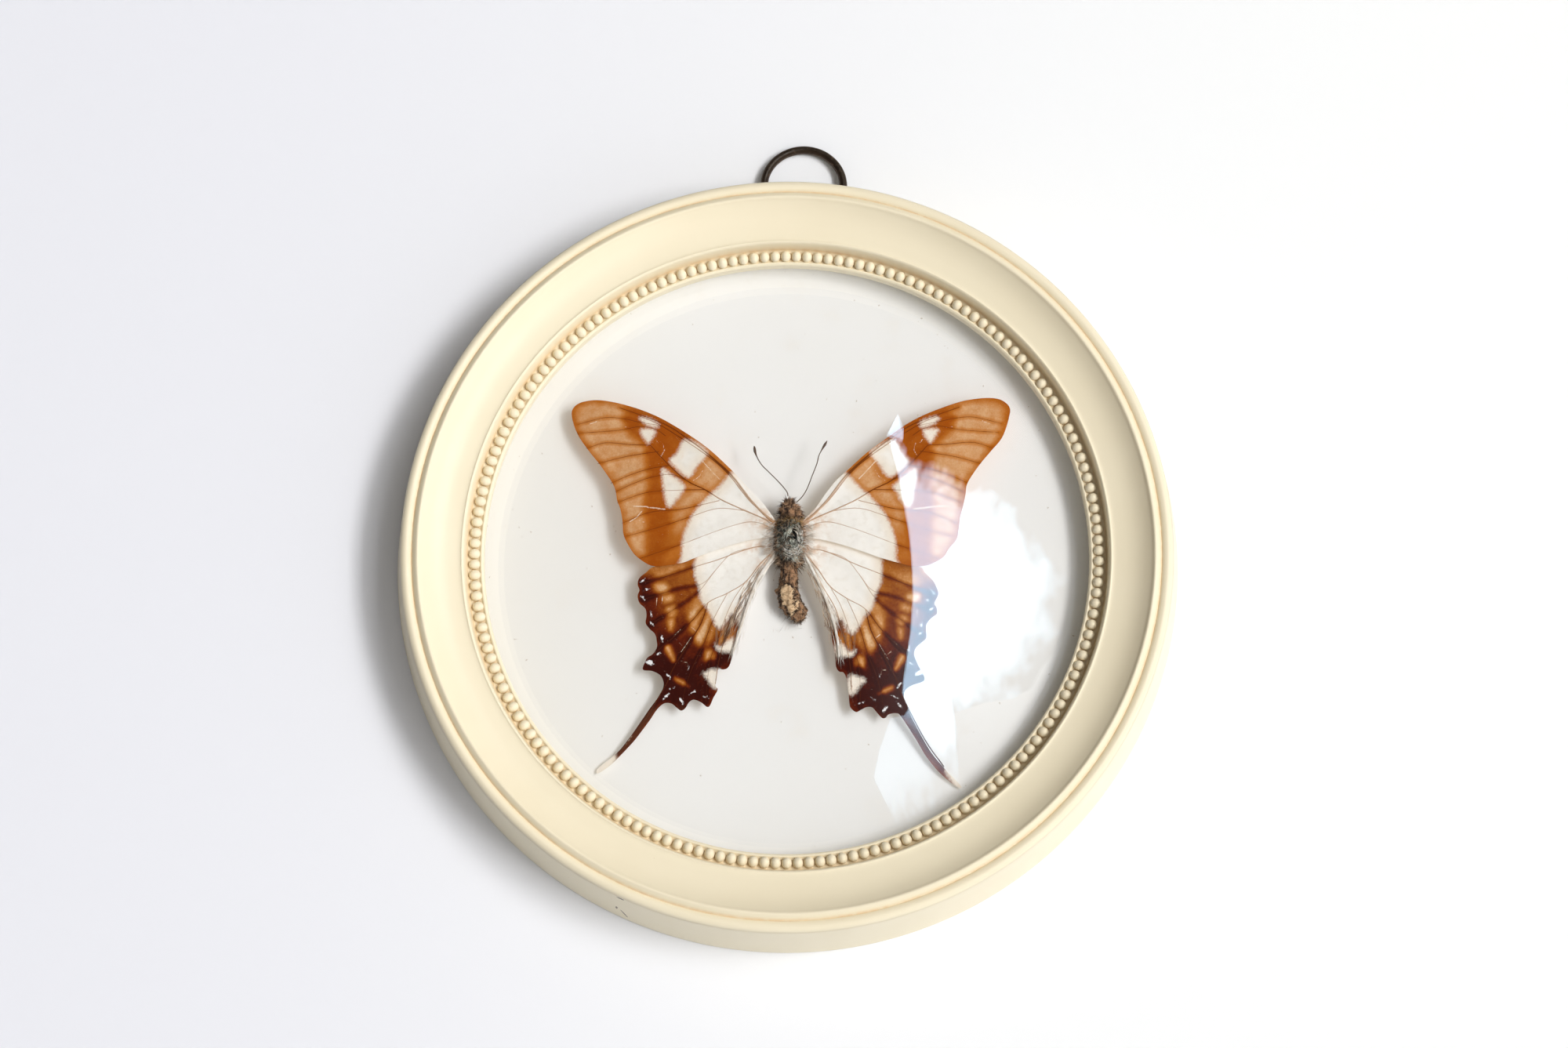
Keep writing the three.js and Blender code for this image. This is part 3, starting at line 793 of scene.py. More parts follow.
RIGHT_HINDWING = [
    (2.7, 3.2), (2.8, 0.4), (3.5, -0.9), (5.3, -3.6), (6.8, -7.4), (8, -11), (8.9, -14.3), (9.6, -17.4),
    (10.1, -19.8),
    (10.4, -21.8), (11, -22.7), (11.9, -22.9), (12.5, -24.2), (12.9, -26.4), (13.1, -28), (13.4, -29.5),
    (14.5, -30.4), (15.4, -30), (16.5, -29.4), (17.6, -29.4), (18.4, -30.2), (19.5, -31.3), (20.2, -31.3),
    (20.8, -30.6), (22.2, -30.3), (23.2, -30.9), (25.9, -34.7), (28.3, -38.4), (31, -41.4), (34.3, -43.9),
    (35, -43.6), (32, -40.7), (29.2, -37.6), (26.8, -33.8), (24.8, -30.2), (23.7, -27.6), (23.6, -26.8),
    (23.9, -25.8), (25, -24.9), (27.4, -23.9), (27.2, -22.6), (26.2, -20.9), (25.4, -19), (25.6, -17.6),
    (26.7, -16.5), (27.6, -15.5), (27.5, -13.1), (28.4, -11.7), (29.5, -10.8), (29.5, -9.7), (29, -8.6),
    (29.7, -6.9), (29.3, -5.5), (28.5, -4.1), (26.8, -2.5), (26.1, -1.7), (20.2, -0.2), (12.6, 2.6),
    (7.4, 4),
]

# Veins of the left wings, root first, with their radius at the root and at the margin
FOREWING_VEINS = [
    ([(-1.9, 5.2), (-3.4, 6.3), (-7.1, 9.9), (-11.3, 15.1), (-15.8, 19), (-20, 22.1), (-24.9, 25.1),
      (-33.9, 28.3)], 0.26, 0.07),
    ([(-1.9, 4.8), (-4.2, 6.3), (-12.3, 9.7), (-16.3, 12), (-19.9, 13.7), (-23.5, 16.7),
      (-27.4, 20.7)], 0.17, 0.08),
    ([(-2.0, 5.6), (-3.8, 6.9), (-7.6, 10.1), (-12.2, 15.6), (-17.1, 19.5), (-25.4, 24.7),
      (-29.8, 26.6)], 0.16, 0.07),
    ([(-25.4, 24.7), (-29.8, 25.4), (-32.7, 26), (-36.6, 26.2), (-42, 24.8)], 0.07, 0.05),
    ([(-24.5, 22.7), (-26.6, 24), (-29.7, 24.5), (-33.7, 23.7), (-41.4, 23)], 0.08, 0.05),
    ([(-27.4, 20.7), (-31.3, 20.8), (-36.3, 21.1), (-40, 19.9)], 0.08, 0.05),
    ([(-25.7, 19.5), (-28.7, 19), (-32.8, 18.2), (-37.6, 16.8)], 0.08, 0.05),
    ([(-23.5, 16.7), (-27.2, 16), (-31, 14.7), (-34.8, 12.9)], 0.08, 0.05),
    ([(-19.9, 13.7), (-23, 14.9), (-27.1, 14.2), (-30.4, 12.9), (-33.8, 11.2)], 0.08, 0.05),
    ([(-16.3, 12), (-20.7, 11.8), (-27.5, 11.2), (-33.3, 9)], 0.09, 0.05),
    ([(-13.4, 9.9), (-20.5, 8), (-26.8, 7.2), (-32.2, 4.9)], 0.09, 0.05),
    ([(-8.2, 8), (-13.6, 8.3), (-19.1, 6.4), (-24.5, 4.4), (-31.2, 2.3)], 0.09, 0.05),
    ([(-2.0, 4.2), (-6.4, 5.8), (-11, 4.8), (-20.7, 0.8), (-28.4, -2.1)], 0.09, 0.05),
]
HINDWING_VEINS = [
    ([(-1.9, 1.2), (-6.3, 1), (-13, -1.6), (-17.3, -3.1), (-24.9, -5.9), (-28, -6.6)], 0.13, 0.06),
    ([(-6.3, 1), (-10.6, -0.4), (-13.5, -3.6), (-16.1, -6.5), (-20.9, -7.7), (-27.5, -10)], 0.08, 0.05),
    ([(-13.5, -3.6), (-16.8, -8.2), (-20.5, -11.1), (-26, -15)], 0.07, 0.05),
    ([(-1.9, 1.0), (-5.1, -2.4), (-7.7, -5.9), (-11.1, -8.2), (-14.8, -10.2), (-18.2, -14.3),
      (-24.3, -20)], 0.14, 0.06),
    ([(-14.8, -10.2), (-16, -14.3), (-18.5, -18.8), (-21, -23.3), (-22.6, -27.2), (-27, -35),
      (-30.8, -40)], 0.1, 0.12),
    ([(-11.1, -8.2), (-12.4, -10.8), (-14, -14.4), (-15.4, -18.7), (-17, -22.3), (-18.2, -26),
      (-19.1, -30.6)], 0.08, 0.05),
    ([(-7.7, -5.9), (-9.9, -9.5), (-11.6, -13.8), (-12.8, -18), (-14, -22), (-14.4, -29.4)], 0.08, 0.05),
    ([(-2.7, 0.5), (-6.2, -5.8), (-8.9, -10.1), (-10.3, -14.1), (-11.3, -17.5), (-12.2, -21.4),
      (-12.7, -26)], 0.12, 0.07),
]

# Markings of the left forewing
FORE_PALE = [
    [(-29.8, 26.1), (-28.6, 26.4), (-26, 25.2), (-26.4, 24.4), (-28.2, 24.7)],
    [(-29.4, 23.9), (-27.1, 24), (-26.7, 23.2), (-27.7, 21.2), (-28.3, 21.4), (-29.2, 23)],
    [(-20.6, 22), (-16.2, 19.7), (-17.9, 17), (-19, 15.1), (-20.2, 14.6), (-23.3, 17.5), (-22.3, 19)],
    [(-24.8, 15.9), (-23.8, 15.4), (-20.7, 13.1), (-20.3, 12.4), (-21, 11), (-22.5, 8.8),
     (-23.5, 8.6), (-24.2, 11), (-24.7, 13.6)],
    [(-9.8, 16.6), (-13.7, 12.5), (-16.1, 10.2), (-18.1, 7.6), (-19.1, 5.6), (-19.8, 3.5), (-20.3, 1.2),
     (-20.2, -2), (-20.4, -6), (2, -6), (2, 12), (-6, 14)],
]
FORE_DARK = [
    [(-28, 20.7), (-26.7, 23.5), (-25.7, 25.7), (-22.6, 24.5), (-20.3, 22.4), (-20.7, 20.6), (-23.8, 17),
     (-24.7, 16.4), (-24.9, 13.8), (-24.4, 11.5), (-23.7, 9.3), (-22.9, 6.5), (-22.9, 3.6), (-23, 0.8),
     (-23.2, -1.4), (-25.1, -3.5), (-26.8, -3), (-27.1, 3.5), (-27.5, 6.3), (-28, 9.1), (-27.3, 12),
     (-27.4, 14.9), (-28.1, 18.3)],
    [(-32.8, 26.4), (-30.2, 26.7), (-29.7, 24.2), (-29.1, 22.8), (-28.3, 20.8), (-30.3, 21.9), (-32, 23.6)],
]
FORE_TAN = [
    [(-32.9, 29.4), (-32.7, 26.2), (-29.8, 23.2), (-28, 20.6), (-28.2, 18.6), (-27.4, 14.9), (-27.3, 12.1),
     (-27.7, 9.2), (-27.6, 6.4), (-27.1, 3.6), (-26.7, 0.8), (-26.5, -1.8), (-30, -1.5), (-33, 6), (-36, 14),
     (-41.5, 22), (-42.5, 27), (-40, 29.6)],
    [(-22.2, 25.6), (-14.4, 19.4), (-10.5, 16.4), (-18.5, 8.5), (-20, 4), (-21.5, 4), (-22, 8.5), (-19, 13),
     (-17, 18), (-20, 22.6), (-25.5, 25.4)],
]
FORE_SCRATCHES = [
    ([(-17.1, 17.8), (-15.2, 15.8), (-13.6, 14.2)], 0.1),
    ([(-30.1, 8.4), (-28, 8.35), (-26.3, 8.1), (-24, 7.9)], 0.13),
    ([(-25, 21.2), (-24.6, 19.8), (-25.3, 18.4)], 0.07),
    ([(-30.7, 5.2), (-29.4, 6.1), (-28.4, 7.4)], 0.1),
    ([(-39.6, 24.9), (-38.2, 25.4)], 0.1), ([(-21.4, 19.9), (-20.9, 18.9), (-21.3, 18)], 0.06),
    ([(-22.6, 22.6), (-21.7, 21.8)], 0.06), ([(-18.7, 13.8), (-17.6, 14.6), (-16.9, 15.9)], 0.06),
    ([(-26.4, 21.9), (-25.9, 21.2)], 0.07), ([(-29.2, 5.6), (-27.8, 5.2)], 0.06),
    ([(-32.6, 24.4), (-31.2, 24.2)], 0.05),
]

# Markings of the left hindwing
HIND_PALE = [
    [(-17.6, -1.2), (-17.6, -4.8), (-16.6, -7.5), (-16.2, -9.5), (-14.5, -11.9), (-13.5, -13.8), (-12.4, -15.2),
     (-11, -14), (-10.1, -12.2), (-8.6, -14.2), (-7, -14), (1, 0), (-2, 5), (-16, 2)],
    [(-15.1, -23.9), (-12, -23.2), (-12, -26.6), (-13.2, -26.6), (-14.2, -25.2)],
    [(-31.4, -41.6), (-31.9, -39.8), (-36, -43), (-34.6, -45)],
    [(-13.1, -18.2), (-12, -18.7), (-10.7, -17.4), (-9.3, -17), (-9.4, -19.4), (-11, -19.6), (-12.5, -19.4)],
]
HIND_DARK = [
    [(-28.6, -5), (-26, -6.2), (-25.7, -9.3), (-25.2, -12.3), (-24, -16.4), (-22.6, -17.2), (-20.8, -18.8),
     (-19.2, -20.2), (-17.3, -21.8), (-15.4, -22.6), (-12.9, -22), (-12, -23), (-15.5, -24.7),
     (-14.6, -26.2), (-14.5, -28), (-14.7, -30.5), (-19, -31.8), (-23.5, -31), (-27.5, -23.8), (-24.6, -19),
     (-27.3, -13.5), (-29, -9.4)],
    [(-12.8, -19.7), (-9.3, -19.5), (-9.3, -20.7), (-12.6, -20.9)],
    [(-24, -28), (-22, -29), (-27, -36), (-31, -40.5), (-32, -39), (-28, -34)],
]
HIND_GLOW = [
    [(-25.2, -6.8), (-23, -6.7), (-22.4, -8.4), (-23.6, -9.1), (-25, -8.1)],
    [(-23.6, -9.1), (-21.9, -8.9), (-21.7, -10), (-23.2, -10.4)],
    [(-22.9, -11.4), (-20.9, -11.1), (-21.2, -12.9), (-22.4, -13)],
    [(-22.3, -13.8), (-21.2, -13.6), (-21.5, -15.6), (-22.1, -15.6)],
    [(-18.2, -12.4), (-17, -11.6), (-16.9, -13.8), (-17.9, -14.4)],
    [(-15.9, -14.3), (-14.6, -13.8), (-14.7, -15.8), (-15.7, -17.7), (-16.8, -17.2)],
    [(-22.9, -19), (-21.7, -18.8), (-20.6, -21.5), (-20.9, -22.1), (-22, -21)],
    [(-20.5, -24.9), (-18.7, -25.6), (-18, -26.4), (-18.4, -26.6), (-20.3, -25.7)],
    [(-14.8, -19.7), (-13.3, -19.3), (-13.2, -21), (-14.9, -21.4)],
]
HIND_TAN = [
    [(-17.5, -9), (-15.6, -9.6), (-13.4, -12.6), (-13.2, -16), (-15.4, -19), (-17.6, -16.6), (-18.6, -12)],
    [(-25, -4), (-20, -2.5), (-20.4, -4.4), (-24, -5.6)],
    [(-12.9, -15.3), (-10.6, -14.1), (-9.6, -17.4), (-12.6, -18.6)],
]
HIND_STREAKS = [
    ([(-4.2, -3), (-6.5, -7.2), (-9.1, -11.2), (-10.3, -14.1), (-11, -16.3)], 0.16),
    ([(-6.9, -9.2), (-8.6, -12.4), (-9.3, -15.4), (-9.6, -18.6)], 0.2),
    ([(-12.9, -14.8), (-12.8, -18.2)], 0.22), ([(-12.1, -14.5), (-12, -18.4)], 0.14),
    ([(-11.3, -13.4), (-11.2, -17.6)], 0.18), ([(-10.4, -12.8), (-10.2, -17)], 0.16),
    ([(-12.35, -23.2), (-12.6, -26.3)], 0.14),
]
HIND_TONE_Y = (-40, -30, -24, -20, -16, -12, -8, -2)  # tone of the brown from the tail to the root
HIND_TONE = (0.72, 0.85, 0.95, 0.88, 0.78, 0.64, 0.54, 0.42)
# White lunules near the margin: place, half length, half width, angle in degrees
LUNULES = [
    ((-27.7, -6.3), 0.5, 0.16, 35), ((-26.7, -7.9), 0.42, 0.15, 10), ((-27.4, -9.7), 0.5, 0.2, -50),
    ((-25.7, -12.8), 0.5, 0.16, 100), ((-25.5, -14.6), 0.45, 0.16, -40), ((-23.4, -17.4), 0.55, 0.17, 100),
    ((-24, -20.5), 0.42, 0.15, 20), ((-25.5, -22.2), 0.75, 0.42, -25), ((-21.8, -24.7), 0.6, 0.2, -55),
    ((-21.1, -27.1), 0.4, 0.1, 20), ((-22, -28.6), 0.62, 0.18, 45), ((-19.1, -29.5), 0.65, 0.24, -55),
    ((-17, -27.7), 0.5, 0.17, 30), ((-14.4, -28.5), 0.5, 0.13, -20), ((-18, -23.2), 0.4, 0.08, 70),
]
HIND_SCRATCHES = [
    ([(-24.7, -9.5), (-24.9, -11.6)], 0.07), ([(-23.6, -9.2), (-23.8, -10.9)], 0.07),
    ([(-17.6, -16.8), (-19.6, -20)], 0.07), ([(-19.9, -15.6), (-21.2, -17)], 0.06),
    ([(-20, -18.2), (-19.4, -18.8)], 0.08), ([(-17.8, -15), (-16.9, -15.8)], 0.09),
    ([(-19.4, -21.8), (-18.3, -22), (-18.2, -22.8)], 0.07), ([(-28.2, -36.2), (-29.4, -38)], 0.09),
]

# The roots of the left and right wings, and how much higher the right one is set, in degrees
FOREWING_MIRROR = (((-2.9, 5.0), (3.5, 5.2)), 4.1)
HINDWING_MIRROR = (((-2.8, 0.6), (3.7, 0.4)), 0.0)
NOWHERE = -9.0  # a depth far outside every outline


def left_place(points, roots, turn_deg):
    """Where points of a right wing would be on the left wing that it mirrors."""
    back = np.radians(-turn_deg)
    x, y = (np.asarray(points, float) - roots[1]).T
    turned_x = x * np.cos(back) - y * np.sin(back)
    turned_y = x * np.sin(back) + y * np.cos(back)
    return np.stack([-turned_x, turned_y], -1) + roots[0]


def right_place(points, roots, turn_deg):
    """Where points of a left wing are on the right wing that mirrors it."""
    ahead = np.radians(turn_deg)
    x, y = (np.asarray(points, float) - roots[0]).T
    turned_x = -x * np.cos(ahead) - y * np.sin(ahead)
    turned_y = -x * np.sin(ahead) + y * np.cos(ahead)
    return np.stack([turned_x, turned_y], -1) + roots[1]


def forewing_height(points):
    share = np.maximum(0, np.abs(points[:, 0]) - 3) / FOREWING_REACH
    return FOREWING_ROOT_Z - FOREWING_DROP * share ** 2


def hindwing_height(points):
    out = np.maximum(0, np.abs(points[:, 0]) - 3)
    back = np.maximum(0, -points[:, 1])
    tail = np.maximum(0, TAIL_FROM_Y - points[:, 1])
    return HINDWING_ROOT_Z - HINDWING_DROP_OUT * out - HINDWING_DROP_BACK * back - TAIL_DROP * tail


def deepest(points, outlines):
    return np.max([depth_in(points, o) for o in outlines], axis=0)


def scratch_depth(points, scratches):
    return np.max([width - line_distance(points, line) for line, width in scratches], axis=0)


def lunule_depth(points):
    best = np.full(len(points), NOWHERE)
    for place, half_length, half_width, angle in LUNULES:
        turn = math.radians(angle)
        x, y = (points - place).T
        u = (x * math.cos(turn) + y * math.sin(turn)) / half_length
        v = (y * math.cos(turn) - x * math.sin(turn)) / half_width
        best = np.maximum(best, (1.1 - np.hypot(u, v)) * half_width)
    return best


def forewing_fields(points):
    tone = 0.62 - 0.44 * soft(deepest(points, FORE_TAN), 1.8)
    tone += (0.95 - tone) * soft(deepest(points, FORE_DARK), 1.2)
    nowhere = np.full(len(points), NOWHERE)
    return {
        "tone": tone,
        "pale": deepest(points, FORE_PALE),
        "grey": np.zeros(len(points)),
        "streak": nowhere,
        "spot": nowhere,
        "scratch": scratch_depth(points, FORE_SCRATCHES),
    }


def hindwing_fields(points):
    y = points[:, 1]
    tone = np.interp(y, HIND_TONE_Y, HIND_TONE)
    tone += (1.05 - tone) * soft(deepest(points, HIND_DARK) - 0.5, 2.4)
    tone -= (tone - 0.22) * soft(deepest(points, HIND_TAN), 1.1)
    tone -= (tone - 0.08) * soft(deepest(points, HIND_GLOW), 0.8)
    return {
        "tone": tone,
        "pale": deepest(points, HIND_PALE),
        "grey": 0.25 * soft(TAIL_FROM_Y - 3.0 - y, 1.2),
        "streak": scratch_depth(points, HIND_STREAKS),
        "spot": lunule_depth(points),
        "scratch": scratch_depth(points, HIND_SCRATCHES),
    }


def wing_sheet(outline):
    """A fine grid cut to the outline, as 2-D points, faces and the points of its rim in order."""
    loop = smooth_loop(outline, 6)
    low = loop.min(0) - WING_CELL
    counts = np.ceil((loop.max(0) + WING_CELL - low) / WING_CELL).astype(int) + 1
    xs = low[0] + WING_CELL * np.arange(counts[0])
    ys = low[1] + WING_CELL * np.arange(counts[1])
    grid = np.stack(np.meshgrid(xs, ys, indexing="ij"), -1).reshape(-1, 2)
    cells = grid_faces(counts[0], counts[1])
    cells = cells[inside(grid[cells].mean(1), loop)]
    used, where = np.unique(cells, return_inverse=True)
    cells = where.reshape(-1, 4)
    points = grid[used]
    shares = np.bincount(cells.ravel(), minlength=len(points))
    for i in np.flatnonzero(shares < 4):
        points[i] = nearest_on(loop, points[i])
    return points, cells, loop


def nearest_on(loop, point):
    ends = np.roll(loop, -1, 0)
    along = ends - loop
    share = np.clip(((point - loop) * along).sum(1) / np.maximum((along ** 2).sum(1), 1e-12), 0, 1)
    near = loop + share[:, None] * along
    return near[np.linalg.norm(near - point, axis=1).argmin()]


def rim_walls(cells, count):
    """Faces that join the rim of the top sheet to the same rim of the bottom sheet."""
    edges = {}
    for cell in cells:
        edges.update(dict.fromkeys(zip(cell.tolist(), np.roll(cell, -1).tolist())))
    return [(a, b, b + count, a + count) for a, b in edges if (b, a) not in edges]


def rippled(points, seed):
    """How far the ripples lift each point of a wing."""
    return WING_RIPPLE * bumpy(np.column_stack([points, np.zeros(len(points))]), WING_RIPPLE_SIZE, seed)


def wing(node, outline, veins, height_at, fields_at, mirror, material, slot, seed):
    """A thin sheet with raised veins. mirror says where a right wing's points lie on the left wing."""
    flat, cells, loop = wing_sheet(outline)
    count = len(flat)
    lines = [smooth_line(line, 5) for line, _, _ in veins]
    if mirror:
        lines = [right_place(line, *mirror) for line in lines]
    near = np.min([line_distance(flat, line) for line in lines], axis=0)
    middle = height_at(flat) + rippled(flat, seed) - WING_SAG * soft(near - 1.0, 1.0)
    top = np.column_stack([flat, middle + WING_HALF_THICKNESS])
    bottom = np.column_stack([flat, middle - WING_HALF_THICKNESS])
    under = cells[:, ::-1]
    faces = [*map(tuple, cells), *map(tuple, under + count), *rim_walls(under, count)]
    parts = [(np.vstack([top, bottom]), faces)]
    for line, (_, root_r, end_r) in zip(lines, veins):
        height = height_at(line) + rippled(line, seed) + WING_HALF_THICKNESS * 0.6
        radii = np.linspace(root_r, end_r, len(line))
        parts.append(tube(np.column_stack([line, height]), radii, 6, 0.8))
    points, faces = joined(parts)
    at = points[:, :2]
    fields = fields_at(left_place(at, *mirror) if mirror else at)
    is_vein = np.arange(len(points)) >= 2 * count
    fields["vein"] = is_vein * 1.0
    fields["near"] = np.where(is_vein, 0, np.resize(near, len(points)))
    fields["root"] = 1 - soft(np.hypot(points[:, 0] - 0.5, points[:, 1] - 3) - 7, 5)
    rim = line_distance(flat, loop, closed=True)
    fields["edge"] = np.where(is_vein, 2.0, np.resize(rim, len(points)))
    piece = add_mesh(node + "_scaled", points, faces, material, slot=slot, fields=fields, crease_deg=80)
    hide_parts(node)


def wings():
    fore = wing_scales("forewing_scales", FORE_RAMP, 0.71, 0.26, 1.6)
    hind = wing_scales("hindwing_scales", HIND_RAMP, 0.7, -0.1, 0.9)
    seed = 0
    for kind, outlines, veins, height_at, fields_at, mirror, material in (
        ("forewing", (LEFT_FOREWING, RIGHT_FOREWING), FOREWING_VEINS, forewing_height, forewing_fields,
         FOREWING_MIRROR, fore),
        ("hindwing", (LEFT_HINDWING, RIGHT_HINDWING), HINDWING_VEINS, hindwing_height, hindwing_fields,
         HINDWING_MIRROR, hind),
    ):
        for side, outline, how in zip(("left_", "right_"), outlines, (None, mirror)):
            seed += 1
            wing(side + kind, outline, veins, height_at, fields_at, how, material, kind, seed)


# The body


# Stations from head to tail: y, middle x, middle z, half width, half height
BODY = [
    (10.4, 0.1, 6.8, 0.25, 0.3), (10.1, 0.1, 6.9, 0.7, 0.8), (9.3, 0.2, 6.9, 1.3, 1.5),
    (8.2, 0.6, 6.8, 1.9, 2), (7, 0.7, 6.7, 1.9, 2.2),
    (5.8, 0.5, 6.5, 2.4, 3), (4.2, 0.4, 6.5, 2.7, 3.7), (2.4, 0.5, 6.4, 2.6, 3.8), (0.6, 0.6, 6.3, 2.5, 3.4),
    (-0.9, 0.7, 6, 1.9, 2.7), (-1.9, 0.6, 5.6, 1.7, 2), (-4.3, 0.6, 5, 1.75, 1.7), (-7.2, 0.6, 4.7, 2, 1.9),
    (-9, 1.1, 4.5, 2.3, 2), (-10.3, 1.7, 4.3, 2.4, 1.8), (-11.7, 2.4, 4, 1.8, 1.5), (-12.6, 2.7, 3.7, 0.9, 0.9),
    (-12.95, 2.75, 3.7, 0.3, 0.3),
]
THORAX_FRONT_Y = 6.2
THORAX_BACK_Y = -1.2
THORAX_HOLE = (1.65, 3.2)
THORAX_HOLE_HALF = (0.75, 1.4)
TORN_PATCHES = [
    [(-0.6, -6.4), (0.2, -6.1), (1.5, -6.9), (1.6, -7.8), (1.6, -9.5), (2, -10.3), (1.7, -11.8),
     (1.1, -11.6), (0.5, -10.6), (-0.4, -9.6), (-0.8, -7.9)],
    [(2.2, -9.2), (2.6, -9.4), (2.8, -10.4), (2.4, -10.9), (2.1, -10.4)],
]
LEFT_ANTENNA = [
    (-0.1, 11.2, 7.9), (-0.4, 12.1, 8), (-2, 13.9, 8.2), (-3.9, 15.7, 8.3), (-5.6, 17.4, 8.2),
    (-6.7, 19.4, 8), (-7.1, 21.1, 7.8),
]
RIGHT_ANTENNA = [
    (1.6, 10, 7.8), (2.7, 11.2, 8), (3.6, 12.8, 8.3), (4.5, 15.4, 8.5), (5.3, 17.8, 8.4),
    (5.7, 19.7, 8.2), (7.1, 22.6, 7.9),
]


def body_rings(per_station, around):
    """Points of the body's skin before any roughness, and the number of rings."""
    stations = smooth_line(BODY, per_station)
    turn = full_turn(around)[None, :]
    y, x, z, half_width, half_height = (stations[:, k][:, None] for k in range(5))
    points = np.stack([
        x + half_width * np.cos(turn), y + 0 * turn, z + half_height * np.sin(turn),
    ], -1)
    return points.reshape(-1, 3), len(stations)


def outward(points, rows, around):
    """Unit directions away from the body's middle line."""
    grid = points.reshape(rows, around, 3)
    away = grid - grid.mean(1, keepdims=True)
    return (away / np.maximum(np.linalg.norm(away, axis=2, keepdims=True), 1e-6)).reshape(-1, 3)


def hole_depth(points):
    u = (points[:, 0] - THORAX_HOLE[0]) / THORAX_HOLE_HALF[0]
    v = (points[:, 1] - THORAX_HOLE[1]) / THORAX_HOLE_HALF[1]
    return np.where(points[:, 2] > 6.5, 1 - np.hypot(u, v), -1)


def body_piece():
    around = 72
    points, rows = body_rings(8, around)
    away = outward(points, rows, around)
    y = points[:, 1]
    on_thorax = soft(y - THORAX_BACK_Y, 0.5) * (1 - soft(y - THORAX_FRONT_Y, 0.5))
    on_abdomen = 1 - soft(y - THORAX_BACK_Y, 0.6)
    lumps = 0.42 * bumpy(points, 1.0, 5, 4) + on_abdomen * 0.28 * bumpy(points * (1, 2.2, 1), 1.6, 6, 3)
    top = points[:, 2] > 4.3
    torn = np.where(top & (y < -3), deepest(points[:, :2], TORN_PATCHES), -2)
    hole = hole_depth(points)
    lumps += 0.12 * soft(torn, 0.15) - 1.3 * soft(hole, 0.35)
    skin = points + away * lumps[:, None]
    fields = {"thorax": on_thorax, "torn": torn, "hole": hole}
    piece = add_mesh("body_with_torn_abdomen", skin, capped_faces(rows, around), body_skin(), slot="body",
                     fields=fields, crease_deg=80)
    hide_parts("body")


def clumped(points, size, seed):
    """Smooth random directions, so that neighbouring hairs lean together."""
    return np.stack([bumpy(points, size, seed + k, 2) for k in range(3)], -1)


def add_hairs(name, material, roots, along, lengths, width, sag, slot="body"):
    points, faces, owner = hairs(roots, along, lengths, width, sag)
    clump = 0.45 + 1.9 * bumpy(roots, 0.8, 21, 2) + RNG.normal(0, 0.16, len(roots))
    tone = np.clip(clump, 0, 1)[owner]
    add_mesh(name, points, faces, material, slot=slot, fields={"tone": tone}, crease_deg=180)


def fur_patch(name, material, count, from_y, to_y, length, lean, turns=(-20, 200), width=0.06, swirl=0.0):
    """Hairs grown from the body's skin between two places along it. They lean, or swirl round the hole."""
    around = 240
    points, rows = body_rings(14, around)
    away = outward(points, rows, around)
    turn = np.degrees(np.tile(full_turn(around), rows))
    turn = np.where(turn > 270, turn - 360, turn)
    ok = (points[:, 1] < from_y) & (points[:, 1] > to_y) & (turn > turns[0]) & (turn < turns[1])
    ok &= hole_depth(points) < 0.05
    ok &= (points[:, 1] > -3) | (deepest(points[:, :2], TORN_PATCHES) < -0.1)
    chosen = RNG.choice(np.flatnonzero(ok), count)
    roots = points[chosen] - 0.15 * away[chosen] + RNG.normal(0, 0.05, (count, 3))
    from_hole = roots[:, :2] - THORAX_HOLE
    from_hole /= np.maximum(np.linalg.norm(from_hole, axis=1), 0.3)[:, None]
    round_hole = np.column_stack([-from_hole[:, 1], from_hole[:, 0], 0 * from_hole[:, 0]])
    along = away[chosen] + np.array(lean) + swirl * round_hole
    along += 1.7 * clumped(roots, 0.9, 11) + RNG.normal(0, 0.25, (count, 3))
    lengths = length * RNG.uniform(0.5, 1.25, count)
    sag = np.array([0, -0.12, -0.25]) + RNG.normal(0, 0.18, (count, 3))
    add_hairs(name, material, roots, along, lengths, width, sag)


def wing_root_tufts(material):
    """Pale down over the wing roots on both sides."""
    for name, side, root_x in (("left_root_down", -1, -2.2), ("right_root_down", 1, 3.2)):
        count = 150
        y = RNG.uniform(-0.6, 5.8, count)
        out = side * RNG.uniform(0, 1.6, count)
        roots = np.stack([root_x + out, y, 7.9 + 0.25 * RNG.random(count)], -1)
        along = np.stack([
            side * RNG.uniform(0.6, 1.2, count), RNG.normal(-0.25, 0.45, count), RNG.normal(0.04, 0.08, count),
        ], -1)
        sag = np.array([0, 0, -0.05]) + RNG.normal(0, 0.12, (count, 3))
        add_hairs(name, material, roots, along, RNG.uniform(0.5, 1.9, count), 0.04, sag)


def thorax_wisps(material):
    """Pale curled hairs round the right and lower side of the thorax."""
    count = 130
    turn = np.radians(RNG.uniform(-170, 60, count))
    away = RNG.uniform(0.65, 1.3, count)
    x = 0.95 + 1.75 * away * np.cos(turn)
    y = 2.3 + 3.0 * away * np.sin(turn)
    z = 7.4 + 2.6 * np.sqrt(np.clip(1 - ((x - 0.5) / 3.0) ** 2 - ((y - 2.5) / 6.0) ** 2, 0, 1))
    along = np.stack([-np.sin(turn), np.cos(turn), RNG.normal(0.15, 0.2, count)], -1)
    along *= RNG.choice([-1, 1], (count, 1))
    sag = np.stack([-0.5 * np.cos(turn), -0.5 * np.sin(turn), RNG.normal(0, 0.1, count)], -1)
    roots = np.stack([x, y, z], -1)
    add_hairs("thorax_wisps", material, roots, along, RNG.uniform(0.6, 1.7, count), 0.055, sag)


